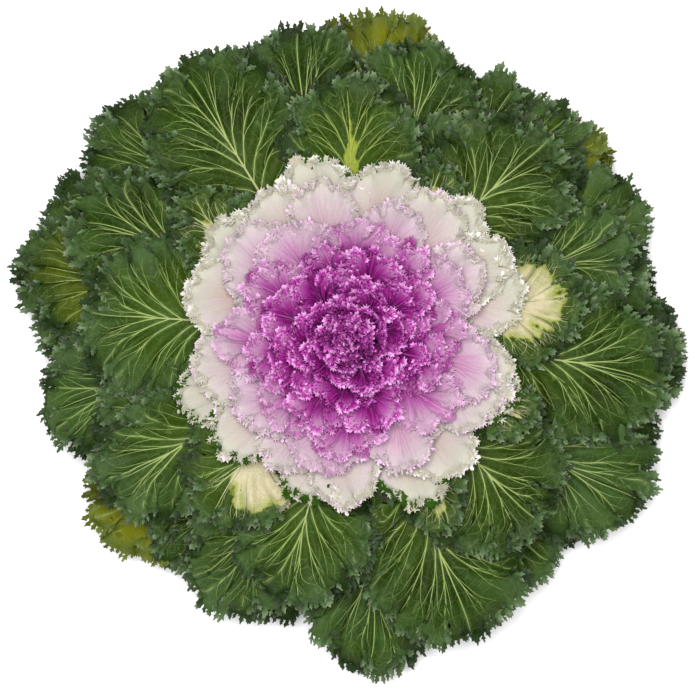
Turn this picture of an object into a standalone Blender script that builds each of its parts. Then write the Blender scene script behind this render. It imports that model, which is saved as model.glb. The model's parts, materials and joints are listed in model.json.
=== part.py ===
"""A flowering cabbage head: a cut stalk, a rosette of frilled green leaves and a ruffled, coloured heart.

Metres, +Z up. The origin is the middle of the stalk's cut face, which the head stands on.
Every leaf lies on a surface turned about the stalk: its height follows from its distance to the axis,
so leaves of different levels nest one above the other without crossing.
"""

import math
import random

import bmesh
import bpy
from mathutils import Vector

SEED = 7

# Stalk, from the cut face up to the underside of the heart
STALK_FOOT_RADIUS = 0.0150
STALK_RADIUS = 0.0165
STALK_TOP_RADIUS = 0.0130
STALK_SHOULDER = 0.0550
STALK_TOP = 0.0575
STALK_SWELL = 0.0080
STALK_CHAMFER = 0.0012
TURN_STEPS = 10
TOUCH_GAP = 0.0003
MERGE_DISTANCE = 0.00005

# Green leaves: how they rise from the stalk and droop towards their tips
PETIOLE_ROOT = STALK_RADIUS + TOUCH_GAP
LOWEST_ROOT = 0.0120
LEVEL_STEP = 0.0057
RISE = 0.0220
RISE_LENGTH = 0.0450
DROOP = 0.0190
DROOP_START = 0.1100
DROOP_LENGTH = 0.0600
FAN_ORIGIN_SHARE = 0.50
PETIOLE_HALF_WIDTH = 0.0042
PETIOLE_ROOT_SHARE = 0.8
PETIOLE_END_SHARE = 1.25
GREEN_TEETH = 10

# Leaf outline: an ellipse about the tip, met by rays that fan out from the end of the petiole
TIP_ELLIPSE_SHARE = 0.57
MARGIN_SWEEP = math.radians(142)
MIDDLE_ROW_SHARE = 0.58

# Leaf section and margin
BLADE_THICKNESS = 0.0009
GREEN_RIB = 0.0026
HEART_RIB = 0.0014
GREEN_WAVE = 0.0018
HEART_WAVE = 0.0014
WAVE_TURN = 2.2
MIDDLE_WAVE_SHARE = 0.35
GREEN_TOOTH = 0.0052
HEART_TOOTH = 0.0036
DEEPEST_TOOTH_SHARE = 0.35
TOOTH_SPREAD = (0.6, 1.1)

# Green leaves: azimuth in degrees from +X, tip's distance from the axis, half width, level
INNER_LEAVES = [
    (46, 0.142, 0.036, 6), (91, 0.131, 0.034, 7), (123, 0.164, 0.039, 6), (174, 0.136, 0.041, 6),
    (201, 0.138, 0.027, 5), (213, 0.149, 0.031, 6), (256, 0.137, 0.035, 6), (293, 0.163, 0.041, 5),
    (316, 0.133, 0.040, 6), (355, 0.160, 0.039, 5),
]
VARIEGATED_LEAVES = [
    (12, 0.117, 0.031, 7), (60, 0.099, 0.018, 7), (142, 0.111, 0.023, 7), (229, 0.116, 0.030, 7),
    (299, 0.107, 0.018, 7), (335, 0.103, 0.017, 7),
]
MIDDLE_LEAVES = [
    (21, 0.150, 0.031, 4), (61, 0.124, 0.029, 4), (74, 0.155, 0.036, 3), (103, 0.161, 0.035, 4),
    (154, 0.155, 0.033, 4), (192, 0.162, 0.034, 3), (246, 0.154, 0.032, 3), (271, 0.120, 0.020, 4),
    (276, 0.171, 0.034, 2), (329, 0.170, 0.037, 3),
]
OUTER_LEAVES = [
    (1, 0.169, 0.034, 1), (11, 0.156, 0.026, 0), (24, 0.164, 0.034, 2), (49, 0.161, 0.030, 1),
    (58, 0.157, 0.028, 2), (112, 0.158, 0.034, 1), (137, 0.172, 0.035, 0), (156, 0.170, 0.034, 1),
    (167, 0.175, 0.034, 2), (177, 0.162, 0.036, 0), (200, 0.153, 0.028, 1), (233, 0.149, 0.030, 1),
    (255, 0.150, 0.028, 0), (287, 0.158, 0.028, 1), (310, 0.157, 0.032, 0), (343, 0.163, 0.032, 0),
    (353, 0.169, 0.032, 2),
]
OLIVE_LEAVES = [(42, 0.165, 0.031, 0), (83, 0.168, 0.039, 0), (220, 0.163, 0.036, 0)]

# Heart: leaves on one spiral, each a golden angle on from the last and a little shorter and higher
GOLDEN_ANGLE = math.radians(137.508)
FIRST_HEART_AZIMUTH = math.radians(8)
HEART_LEAVES = 66
HEART_REACH = 0.0920
CORE_REACH = 0.0110
REACH_POWER = 1.5
WIDEST_HALF_WIDTH = 0.0235
WIDTH_LENGTH = 0.0420
HEART_FAN_SHARE = 0.30
ROOT_ABOVE_HUB_FOOT = 0.0022
LOWEST_HEART_ROOT = STALK_TOP + TOUCH_GAP + ROOT_ABOVE_HUB_FOOT
HEART_ROOT_STEP = 0.00027
COLOUR_STEP = 0.0028
LOWEST_HEART_TIP = 0.0780
HIGHEST_HEART_TIP = 0.0985
TIP_POWER = 0.8
SLOPE_POWER = 1.2
LARGE_REACH = 0.0400
LARGE_LEAF_TEETH = 5
SMALL_LEAF_TEETH = 4
ROOT_SUNK = 0.0030
HUB_FOOT_RADIUS = 0.0125
HUB_TOP_RADIUS = 0.0045
HUB_HEADROOM = 0.0005
HEART_PETIOLE_HALF_WIDTH = 0.0035
CORE_PETIOLE_SHARE = 0.4
# name: its colour's share of the spiral, from the outermost leaf inwards
HEART_COLOURS = {
    "cream_leaves": (0, 21),
    "blush_leaves": (21, 36),
    "pink_leaves": (36, 50),
    "magenta_heart": (50, HEART_LEAVES),
}

# Base colour, roughness
FINISHES = {
    "leaf_green": ((0.055, 0.130, 0.035), 0.55),
    "leaf_olive": ((0.200, 0.230, 0.020), 0.55),
    "leaf_variegated": ((0.330, 0.420, 0.180), 0.55),
    "cream": ((0.800, 0.760, 0.600), 0.50),
    "blush": ((0.780, 0.520, 0.680), 0.50),
    "pink": ((0.600, 0.200, 0.520), 0.50),
    "magenta": ((0.330, 0.030, 0.270), 0.50),
    "stalk": ((0.620, 0.660, 0.420), 0.60),
}


def clear_scene():
    for obj in list(bpy.data.objects):
        bpy.data.objects.remove(obj)


def finish(name):
    material = bpy.data.materials.new(name)
    material.use_nodes = True
    colour, roughness = FINISHES[name]
    shader = material.node_tree.nodes["Principled BSDF"]
    shader.inputs["Base Color"].default_value = (*colour, 1.0)
    shader.inputs["Roughness"].default_value = roughness
    shader.inputs["Metallic"].default_value = 0.0
    return material


def new_collection(name):
    collection = bpy.data.collections.new(name)
    bpy.context.scene.collection.children.link(collection)
    return collection


def turned(name, profile, collection, material):
    """A solid turned about Z from (radius, height) points that run down its outer side."""
    mesh = bpy.data.meshes.new(name)
    points = [(radius, 0.0, height) for radius, height in profile]
    mesh.from_pydata(points, [(i, i + 1) for i in range(len(points) - 1)], [])
    mesh.materials.append(material)
    obj = bpy.data.objects.new(name, mesh)
    collection.objects.link(obj)
    screw = obj.modifiers.new("turn", "SCREW")
    screw.steps = TURN_STEPS
    screw.render_steps = TURN_STEPS
    screw.use_merge_vertices = True
    screw.merge_threshold = MERGE_DISTANCE
    return obj


def green_height(level):
    """The height of a green leaf as a function of the distance from the axis."""
    root = LOWEST_ROOT + level * LEVEL_STEP

    def height(radius):
        rise = RISE * (1 - math.exp(-(radius - PETIOLE_ROOT) / RISE_LENGTH))
        droop = DROOP * max(0.0, (radius - DROOP_START) / DROOP_LENGTH) ** 2
        return root + rise - droop

    return height


def heart_height(reach, hub_radius, root, tip):
    """The height of a heart leaf: a shallow bowl from its root on the hub to its tip."""

    def height(radius):
        share = max(0.0, (radius - hub_radius) / (reach - hub_radius))
        return root + (tip - root) * share**SLOPE_POWER

    return height


def margin_point(reach, half_width, origin, turn):
    """The outline's point at an angle of its ellipse, turn 0 being the tip."""
    length = (reach - origin) * TIP_ELLIPSE_SHARE
    return Vector((reach - length + length * math.cos(turn), half_width * math.sin(turn), 0.0))


def petiole_rows(stations, half_width):
    """Rows of three points across the petiole, at (distance from the axis, widening) stations."""
    rows = []
    for x, widening in stations:
        rows.append([Vector((x, side * half_width * widening, 0.0)) for side in (-1, 0, 1)])
    return rows


def blade_rows(reach, half_width, origin, petiole, teeth, tooth, wave, draw):
    """Two rows that fan out from the end of the petiole: one inside the blade, then its cut margin."""
    rows = []
    phase = draw.uniform(0, math.tau)
    for points, share, waved in ((teeth, MIDDLE_ROW_SHARE, MIDDLE_WAVE_SHARE), (2 * teeth, 1.0, 1.0)):
        row = []
        for i in range(points + 1):
            across = 2 * i / points - 1
            edge = margin_point(reach, half_width, origin, across * MARGIN_SWEEP)
            foot = Vector((origin, across * petiole, 0.0))
            ray = edge - foot
            cut = tooth * draw.uniform(*TOOTH_SPREAD) if points > teeth and i % 2 else 0.0
            cut = min(cut, ray.length * DEEPEST_TOOTH_SHARE)
            point = foot + ray * share - ray.normalized() * cut
            point.z = wave * waved * math.sin(across * teeth * WAVE_TURN + phase)
            row.append(point)
        rows.append(row)
    return rows


def bridge(mesh, near, far):
    """Triangles between two rows of unlike counts, always taking the nearer next point."""
    i = j = 0
    while i < len(near) - 1 or j < len(far) - 1:
        next_near = (i + 1) / (len(near) - 1)
        next_far = (j + 1) / (len(far) - 1)
        if j == len(far) - 1 or (i < len(near) - 1 and next_near < next_far):
            mesh.faces.new((near[i], far[j], near[i + 1]))
            i += 1
        else:
            mesh.faces.new((near[i], far[j], far[j + 1]))
            j += 1


def leaf(name, rows, ribbed_rows, rib, height, azimuth, collection, material):
    """A leaf: an open triangulated sheet on its surface, made solid downwards, thicker at its rib."""
    mesh = bpy.data.meshes.new(name)
    sheet = bmesh.new()
    for row in rows:
        for point in row:
            point.z += height(math.hypot(point.x, point.y))
    placed = [[sheet.verts.new(point) for point in row] for row in rows]
    for near, far in zip(placed, placed[1:]):
        bridge(sheet, near, far)
    sheet.to_mesh(mesh)
    sheet.free()
    mesh.materials.append(material)
    obj = bpy.data.objects.new(name, mesh)
    obj.rotation_euler.z = azimuth
    collection.objects.link(obj)
    group = obj.vertex_groups.new(name="rib")
    group.add(list(range(3 * ribbed_rows)), 1.0, "REPLACE")
    solid = obj.modifiers.new("thickness", "SOLIDIFY")
    solid.thickness = rib
    solid.offset = -1.0
    solid.vertex_group = group.name
    solid.thickness_vertex_group = BLADE_THICKNESS / rib
    return obj


def green_leaves(kind, leaves, collection, material, draw):
    """A separate solid for each leaf of a table, which stops just short of the stalk."""
    for number, (azimuth, reach, half_width, level) in enumerate(leaves, 1):
        origin = PETIOLE_ROOT + (reach - PETIOLE_ROOT) * FAN_ORIGIN_SHARE
        middle = (PETIOLE_ROOT + origin) / 2
        stations = [(PETIOLE_ROOT, PETIOLE_ROOT_SHARE), (middle, 1.0), (origin, PETIOLE_END_SHARE)]
        rows = petiole_rows(stations, PETIOLE_HALF_WIDTH)
        end = PETIOLE_HALF_WIDTH * PETIOLE_END_SHARE
        rows += blade_rows(
            reach, half_width, origin, end, GREEN_TEETH, GREEN_TOOTH, GREEN_WAVE, draw
        )
        name = f"{kind}_{number:02d}"
        height = green_height(level)
        leaf(name, rows, 2, GREEN_RIB, height, math.radians(azimuth), collection, material)


def heart_root(index, colour):
    """The height at which a leaf of the spiral leaves the hub."""
    return LOWEST_HEART_ROOT + index * HEART_ROOT_STEP + colour * COLOUR_STEP


def hub_radius_at(height):
    """The hub's radius, which narrows evenly from the stalk's top to the last leaf."""
    top = heart_root(HEART_LEAVES, len(HEART_COLOURS) - 1)
    share = (height - STALK_TOP) / (top - STALK_TOP)
    return HUB_FOOT_RADIUS + (HUB_TOP_RADIUS - HUB_FOOT_RADIUS) * share


def heart_leaf(name, index, colour, collection, material, draw):
    """The spiral's leaf of this index, counted inwards, its root sunk in the hub."""
    share = index / (HEART_LEAVES - 1)
    reach = CORE_REACH + (HEART_REACH - CORE_REACH) * (1 - share**REACH_POWER)
    half_width = WIDEST_HALF_WIDTH * (1 - math.exp(-reach / WIDTH_LENGTH))
    root = heart_root(index, colour)
    tip = LOWEST_HEART_TIP + (HIGHEST_HEART_TIP - LOWEST_HEART_TIP) * share**TIP_POWER
    hub_radius = hub_radius_at(root)
    origin = hub_radius + (reach - hub_radius) * HEART_FAN_SHARE
    petiole = min(HEART_PETIOLE_HALF_WIDTH, half_width * CORE_PETIOLE_SHARE)
    teeth = LARGE_LEAF_TEETH if reach > LARGE_REACH else SMALL_LEAF_TEETH
    rows = petiole_rows([(hub_radius - ROOT_SUNK, 1.0), (origin, 1.0)], petiole)
    rows += blade_rows(reach, half_width, origin, petiole, teeth, HEART_TOOTH, HEART_WAVE, draw)
    height = heart_height(reach, hub_radius, root, tip)
    azimuth = FIRST_HEART_AZIMUTH + index * GOLDEN_ANGLE
    return leaf(name, rows, 1, HEART_RIB, height, azimuth, collection, material)


def heart_node(name, colour, collection, material, draw):
    """One colour of the heart: its length of hub and its leaves joined into one body."""
    first, end = HEART_COLOURS[name]
    foot = heart_root(first, colour) - ROOT_ABOVE_HUB_FOOT
    top = heart_root(end - 1, colour) + HUB_HEADROOM
    foot_radius = hub_radius_at(foot)
    top_radius = hub_radius_at(top)
    profile = [(0.0, top), (top_radius, top), (foot_radius, foot), (0.0, foot)]
    hub = turned(name, profile, collection, material)
    parts = new_collection(name + "_parts")
    for index in range(first, end):
        heart_leaf(f"{name}_{index}", index, colour, parts, material, draw)
    join = hub.modifiers.new("join", "BOOLEAN")
    join.operation = "UNION"
    join.operand_type = "COLLECTION"
    join.collection = parts
    join.solver = "MANIFOLD"
    graph = bpy.context.evaluated_depsgraph_get()
    joined = bpy.data.meshes.new_from_object(hub.evaluated_get(graph))
    hub.modifiers.clear()
    hub.data = joined
    for obj in list(parts.objects):
        bpy.data.objects.remove(obj)
    bpy.data.collections.remove(parts)
    return hub


def build():
    clear_scene()
    draw = random.Random(SEED)
    head = new_collection("cabbage_head")
    materials = {name: finish(name) for name in FINISHES}

    stalk_profile = [
        (0.0, STALK_TOP),
        (STALK_TOP_RADIUS, STALK_TOP),
        (STALK_RADIUS, STALK_SHOULDER),
        (STALK_RADIUS, STALK_SWELL),
        (STALK_FOOT_RADIUS, STALK_CHAMFER),
        (STALK_FOOT_RADIUS - STALK_CHAMFER, 0.0),
        (0.0, 0.0),
    ]
    turned("stalk", stalk_profile, head, materials["stalk"])

    green_leaves("inner_green_leaf", INNER_LEAVES, head, materials["leaf_green"], draw)
    green_leaves("variegated_leaf", VARIEGATED_LEAVES, head, materials["leaf_variegated"], draw)
    green_leaves("middle_green_leaf", MIDDLE_LEAVES, head, materials["leaf_green"], draw)
    green_leaves("outer_green_leaf", OUTER_LEAVES, head, materials["leaf_green"], draw)
    green_leaves("olive_leaf", OLIVE_LEAVES, head, materials["leaf_olive"], draw)

    colours = ("cream", "blush", "pink", "magenta")
    for number, (name, colour) in enumerate(zip(HEART_COLOURS, colours)):
        heart_node(name, number, head, materials[colour], draw)


build()
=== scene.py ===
"""A cut head of ornamental cabbage: veined green leaves with frilled margins round a ruffled heart.

Metres, +Z up. Each leaf's place is measured on its solid in the frame. Its sheet is worked out from
two numbers at every point: across, from -1 to 1 along the margin, and along, from 0 on the midrib
to 1 on the margin.
"""

import json
import math
import random

import bmesh
import bpy
import numpy as np
from bpy.props import FloatProperty, FloatVectorProperty, IntProperty, PointerProperty
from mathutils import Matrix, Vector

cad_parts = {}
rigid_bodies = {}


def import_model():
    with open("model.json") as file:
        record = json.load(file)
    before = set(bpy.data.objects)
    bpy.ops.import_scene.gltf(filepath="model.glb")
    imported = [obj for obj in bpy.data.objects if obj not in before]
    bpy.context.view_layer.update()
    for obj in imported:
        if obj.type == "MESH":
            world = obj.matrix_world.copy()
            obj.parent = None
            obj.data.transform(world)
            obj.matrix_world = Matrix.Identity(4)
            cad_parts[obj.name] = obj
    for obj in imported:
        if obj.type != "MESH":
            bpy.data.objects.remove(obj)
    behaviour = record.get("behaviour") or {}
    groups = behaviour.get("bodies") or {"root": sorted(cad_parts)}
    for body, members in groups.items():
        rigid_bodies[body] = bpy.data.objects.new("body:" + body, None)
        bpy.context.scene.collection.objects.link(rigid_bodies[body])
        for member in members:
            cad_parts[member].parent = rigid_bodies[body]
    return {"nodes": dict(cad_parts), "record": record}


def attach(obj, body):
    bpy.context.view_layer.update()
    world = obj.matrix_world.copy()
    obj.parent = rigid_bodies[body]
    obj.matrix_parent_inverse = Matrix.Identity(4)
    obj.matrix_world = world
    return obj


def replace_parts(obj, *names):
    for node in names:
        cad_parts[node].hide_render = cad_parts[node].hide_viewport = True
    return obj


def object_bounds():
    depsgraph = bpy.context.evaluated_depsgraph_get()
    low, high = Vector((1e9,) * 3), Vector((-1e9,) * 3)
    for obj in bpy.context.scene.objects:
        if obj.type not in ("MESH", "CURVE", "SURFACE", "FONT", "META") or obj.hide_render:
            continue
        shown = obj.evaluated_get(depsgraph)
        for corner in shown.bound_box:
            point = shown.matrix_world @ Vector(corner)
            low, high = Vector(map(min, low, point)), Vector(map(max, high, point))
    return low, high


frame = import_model()
CAD_LOW, CAD_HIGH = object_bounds()

bl_info = {
    "name": "Ornamental cabbage head",
    "version": (1, 0, 0),
    "blender": (4, 5, 0),
    "location": "View3D > Sidebar > Cabbage",
    "description": "Builds the leaves, heart and stalk of an ornamental cabbage",
    "category": "Add Mesh",
}

MM = 0.001
# How much brighter than white paper in daylight the studio lights a surface that faces them
STUDIO_LIGHT = 1.45


def shade(red, green, blue):
    """A colour as seen in the studio, as the linear values that a shader takes.

    It is given from 0 to 255 a channel, and over 255 for thin tips, which are lit at a slant.
    """
    linear = []
    for value in (red, green, blue):
        part = value / 255
        linear.append(part / 12.92 if part <= 0.04045 else ((part + 0.055) / 1.055) ** 2.4)
    return tuple(value / STUDIO_LIGHT for value in linear)


def length(name, description, default):
    return FloatProperty(
        name=name, description=description, default=default, subtype="DISTANCE", unit="LENGTH"
    )


def tint(name, description, red, green, blue):
    return FloatVectorProperty(
        name=name, description=description, default=shade(red, green, blue), subtype="COLOR", size=3,
        min=0.0, max=1.0,
    )


class CabbageSizes(bpy.types.PropertyGroup):
    """Sizes of the leaves. The first seven repeat the curves that the solids lie on."""

    rise: length("Rise", "How far a green leaf rises from its root", 0.0220)
    rise_length: length("Rise length", "Distance over which it rises", 0.0450)
    droop: length("Droop", "How far its tip droops again", 0.0190)
    droop_start: length("Droop start", "Distance from the axis where the droop starts", 0.1100)
    droop_length: length("Droop length", "Distance over which it droops", 0.0600)
    heart_reach: length("Heart reach", "Tip of the heart's outermost leaf", 0.0920)
    core_reach: length("Core reach", "Tip of the heart's innermost leaf", 0.0110)
    blade: length("Blade", "Thickness of a blade", 0.0005)
    frill_spacing: length("Frill spacing", "Distance between two frill lobes of a green leaf", 0.0030)
    frill_length: length("Frill length", "Length of a frill lobe of a green leaf", 0.0041)
    lace_spacing: length("Lace spacing", "Distance between two frill lobes of the heart", 0.0020)
    lace_length: length("Lace length", "Length of a frill lobe of the heart", 0.0033)
    vein: length("Vein", "Radius of a side vein where it leaves the midrib", 0.00052)
    heart_leaves: IntProperty(name="Heart leaves", description="Leaves on the heart's spiral", default=66)
    bud_leaves: IntProperty(name="Bud leaves", description="Small leaves over the growing point", default=14)


class LeafColours(bpy.types.PropertyGroup):
    """Colours of the green and variegated leaves."""

    # Deep green is the blade's own dark patches, and also painted shade in the sunk folds of margins and
    # frill lobes
    deep: tint("Deep green", "Blade in its folds", 12, 30, 4)
    mid: tint("Mid green", "Blade between its veins", 52, 86, 22)
    warm: tint("Warm green", "Patches that have begun to age", 72, 86, 8)
    bloom: tint("Bloom", "Waxy grey green of the frilled margin", 86, 107, 73)
    # The tooth colour is partly the real pale teeth, partly a painted highlight on the tips of raised frill
    # lobes
    tip: tint("Tooth", "Brightest teeth of a frilled margin", 138, 154, 118)
    dusk: tint("Dusk", "Purplish grey teeth among them", 96, 90, 82)
    back: tint("Underside", "Back of a blade", 94, 112, 88)
    olive: tint("Olive", "Ageing outer leaves", 118, 122, 6)
    vein: tint("Vein", "Side veins", 157, 177, 104)
    rib: tint("Rib", "Foot of the midrib", 186, 178, 126)
    lime: tint("Lime", "Edge of the pale part of a variegated leaf", 150, 162, 58)
    cream: tint("Cream", "Pale base of a variegated leaf", 212, 204, 168)
    tan: tint("Tan", "Flushed parts of that base", 198, 180, 138)


class HeartColours(bpy.types.PropertyGroup):
    """Colours of the heart, from its outer leaves to its core."""

    cream: tint("Cream", "Outer leaves", 198, 197, 180)
    tan: tint("Tan", "Feet of the outer leaves", 184, 160, 118)
    blush: tint("Blush", "Pale pink leaves", 204, 186, 193)
    orchid: tint("Orchid", "Pink leaves", 198, 146, 184)
    magenta: tint("Magenta", "Inner leaves", 174, 78, 160)
    purple: tint("Purple", "Bud leaves", 140, 24, 120)
    # The core colour is the inner leaves' deep purple, made near black as painted shade in the gaps at their
    # feet
    core: tint("Core", "Feet of the inner leaves", 52, 0, 42)
    white: tint("White", "Tips of the frills of the outer leaves", 252, 249, 238)
    mauve: tint("Mauve", "Frills of the inner leaves, between foot and tip", 202, 80, 186)
    lace: tint("Lace", "Tips of the frills of the pink leaves", 248, 216, 238)
    bud_lace: tint("Bud lace", "Tips of the frills of the inner leaves", 246, 184, 238)


class StudioSettings(bpy.types.PropertyGroup):
    """The floor and the camera."""

    floor: FloatVectorProperty(
        name="Floor", description="Pale floor", default=(0.93, 0.93, 0.93), subtype="COLOR", size=3, min=0.0,
        max=1.0,
    )
    height: length("Camera height", "Height of the camera over the floor", 2.5)
    frame_width: length("Frame width", "Width of the picture at the outer leaves", 0.3530)
    sharp_height: length("Frame height", "Height over the floor where that width is measured", 0.025)


def sizes():
    return bpy.context.scene.cabbage_sizes


def smooth(low, high, value):
    """0 below low, 1 above high and an even curve between."""
    part = np.clip((value - low) / (high - low), 0.0, 1.0)
    return part * part * (3 - 2 * part)


def turned(points, azimuth):
    """Points turned about the head's axis."""
    cos, sin = math.cos(azimuth), math.sin(azimuth)
    out = np.array(points, float)
    out[..., 0] = points[..., 0] * cos - points[..., 1] * sin
    out[..., 1] = points[..., 0] * sin + points[..., 1] * cos
    return out


class Folds:
    """Folds side by side along a margin, every other one up and rolled back, the next down and flat."""

    def __init__(self, widths, notch, rise, overlap, zone, drop=1.0, up_roll=(0, 0), down_roll=(0, 0)):
        self.widths = widths
        self.notch = notch
        self.rise = rise
        self.overlap = overlap
        self.zone = zone
        self.drop = drop
        self.up_roll = up_roll
        self.down_roll = down_roll


class Style:
    """How a kind of leaf is cut and ruffled. Lengths are in metres."""

    def __init__(self, **values):
        self.margin_step = 0.00050
        self.wave = Folds((0.0150, 0.0290), 0.0094, 0.0080, 0.14, 0.0170)
        self.lobe = Folds(
            (0.0060, 0.0120), 0.0062, 0.0034, 0.27, 0.0080, 0.6, up_roll=(0.6, 1.7), down_roll=(-0.7, 0.4)
        )
        self.pleat = Folds((0.0030, 0.0054), 0.0018, 0.0018, 0.22, 0.0042)
        self.tooth = Folds((0.0022, 0.0044), 0.0040, 0.0008, 0.05, 0.0032)
        self.curl_zone = 0.0085
        self.pucker = 0.0030
        self.swell = 0.0014
        self.lean = 0.10
        self.side_veins = 6
        self.branches = 4
        self.vein_girth = 1.0
        self.lace_rows = 1
        self.veined_up_to = 2.0
        self.rib_root = 0.0024
        self.vein_end = 0.94
        self.foot_spread = 0.50
        self.sweep = math.radians(148)
        for name, value in values.items():
            setattr(self, name, value)


GREEN = Style()
HIDDEN_GREEN = Style(
    margin_step=0.00070,
    wave=Folds((0.0150, 0.0290), 0.0118, 0.0080, 0.14, 0.0170),
    lobe=Folds(
        (0.0060, 0.0120), 0.0078, 0.0034, 0.27, 0.0085, 0.6, up_roll=(0.4, 1.5), down_roll=(-0.7, 0.4)
    ),
)
VARIEGATED = Style(side_veins=8)
HEART = Style(
    margin_step=0.00050,
    wave=Folds((0.0080, 0.0160), 0.0072, 0.0054, 0.08, 0.0105),
    lobe=Folds(
        (0.0030, 0.0056), 0.0028, 0.0018, 0.12, 0.0038, 0.6, up_roll=(0.5, 1.9), down_roll=(-0.7, 0.5)
    ),
    pleat=Folds((0.0018, 0.0030), 0.0008, 0.0007, 0.12, 0.0022),
    tooth=Folds((0.0012, 0.0020), 0.0015, 0.0003, 0.05, 0.0016),
    curl_zone=0.0054, pucker=0.0006, swell=0.0010, lean=0.14, side_veins=4, branches=0, vein_girth=0.4,
    lace_rows=2, veined_up_to=0.4, rib_root=0.0010, vein_end=0.80, foot_spread=0.40,
)
HEART_OUTER = Style(
    margin_step=0.00052,
    wave=Folds((0.0120, 0.0220), 0.0034, 0.0030, 0.05, 0.0100),
    lobe=Folds(
        (0.0034, 0.0062), 0.0022, 0.0014, 0.10, 0.0026, 0.6, up_roll=(0.5, 1.9), down_roll=(-0.7, 0.5)
    ),
    pleat=Folds((0.0018, 0.0030), 0.0008, 0.0007, 0.12, 0.0020),
    tooth=Folds((0.0012, 0.0020), 0.0015, 0.0003, 0.05, 0.0016),
    curl_zone=0.0046, pucker=0.0005, swell=0.0012, lean=0.14, side_veins=4, branches=1, vein_girth=0.4,
    lace_rows=2, rib_root=0.0012, vein_end=0.80, foot_spread=0.40,
)

# Rows of a sheet from its midrib: the share of the way to the frill, and the columns as a multiple
INNER_ROWS = [(0.0, 1), (0.12, 1), (0.26, 1), (0.40, 1), (0.54, 2), (0.67, 2), (0.79, 2), (0.90, 2)]
# Rows of the frill: the distance from the margin in metres, the most of the ray that it may be
FRILL_ROWS = [
    (0.0085, 0.34, 4), (0.0064, 0.26, 4), (0.0046, 0.19, 4), (0.0031, 0.13, 4), (0.0019, 0.08, 8),
    (0.0009, 0.04, 8), (0.0, 0.0, 8),
]
# Points that a leaf's smooth outline is worked out at, and its half length as a share of the blade
OUTLINE_SAMPLES = 801
ELLIPSE_SHARE = 0.57
# The rays from the midrib to the margin: how far behind the blade's start the rearmost have their feet,
# and how the feet crowd towards there
FOOT_BACK = 0.10
FOOT_POWER = 1.25
# The point that bends a ray: the shares of the ray's own and the forward direction, and how far out it lies
RAY_SHARE, FORWARD_SHARE = 0.52, 0.48
BEND_PLACE = 0.52
# Rays shorter than this carry folds that are smaller in proportion
FULL_RAY = 0.020
# Distance from a side vein over which the blade puckers up
PUCKER_WIDTH = 0.0026
# The room where no other leaf lies over or under a point
OPEN_AIR = 0.030
# How far the sheets stay under the solids' highest point, for the frill that stands on them
HEADROOM = 0.0012
# The share of the room over and under a point that ruffles may take, less a gap, and the least they may take
ROOF_SHARE, ROOF_GAP = 0.80, 0.0008
GROUND_SHARE, GROUND_GAP = 0.55, 0.0006
LEAST_ROOM = 0.0003
# The lowest that a sheet is pushed, from its own level, to stay under the solids' highest point
DEEPEST = -0.004

# The branches of a side vein: where each starts along it and its spread, as a share of the veins' spacing
BRANCHES = [(0.24, 0.78), (0.40, 0.66), (0.56, 0.54), (0.72, 0.44)]
# The twigs of a branch: the share of it where each forks off, and its spread
TWIGS = [(0.30, -0.34), (0.58, 0.24)]
# The share of a half margin that the side veins fan out over, and where the fan starts
FAN_SHARE, FAN_START = 0.92, 0.05
# How far side veins, branches and twigs wander, and how thick a twig is beside the thickest side vein
MAIN_DRIFT, BRANCH_DRIFT, TWIG_DRIFT = 0.032, 0.02, 0.012
TWIG_GIRTH = 0.26
# The shares of their girth by which the midrib and the side veins are sunk into the blade
RIB_SUNK, VEIN_SUNK = 0.62, 0.20
# How far past its end a vein still counts as near
PAST_END = 0.03


class Vein:
    """A vein's course over a sheet: its place across for a place along, from where it forks off."""

    def __init__(self, parent, place, start, swing, end, girth, drift):
        self.parent = parent
        self.place = place
        self.start = start
        self.swing = swing
        self.end = end
        self.girth = girth
        self.drift = drift

    def across(self, along):
        """The place across at each place along."""
        part = np.clip((along - self.start) / (1 - self.start), 0, 1)
        bends = np.sin(part * 6.0 + self.place * 40) + 0.35 * np.sin(part * 17.0 + self.place * 90)
        own = self.swing * part**0.8 + self.drift * bends * part
        if self.parent is None:
            return self.place + own
        return self.parent.across(along) + own


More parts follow.
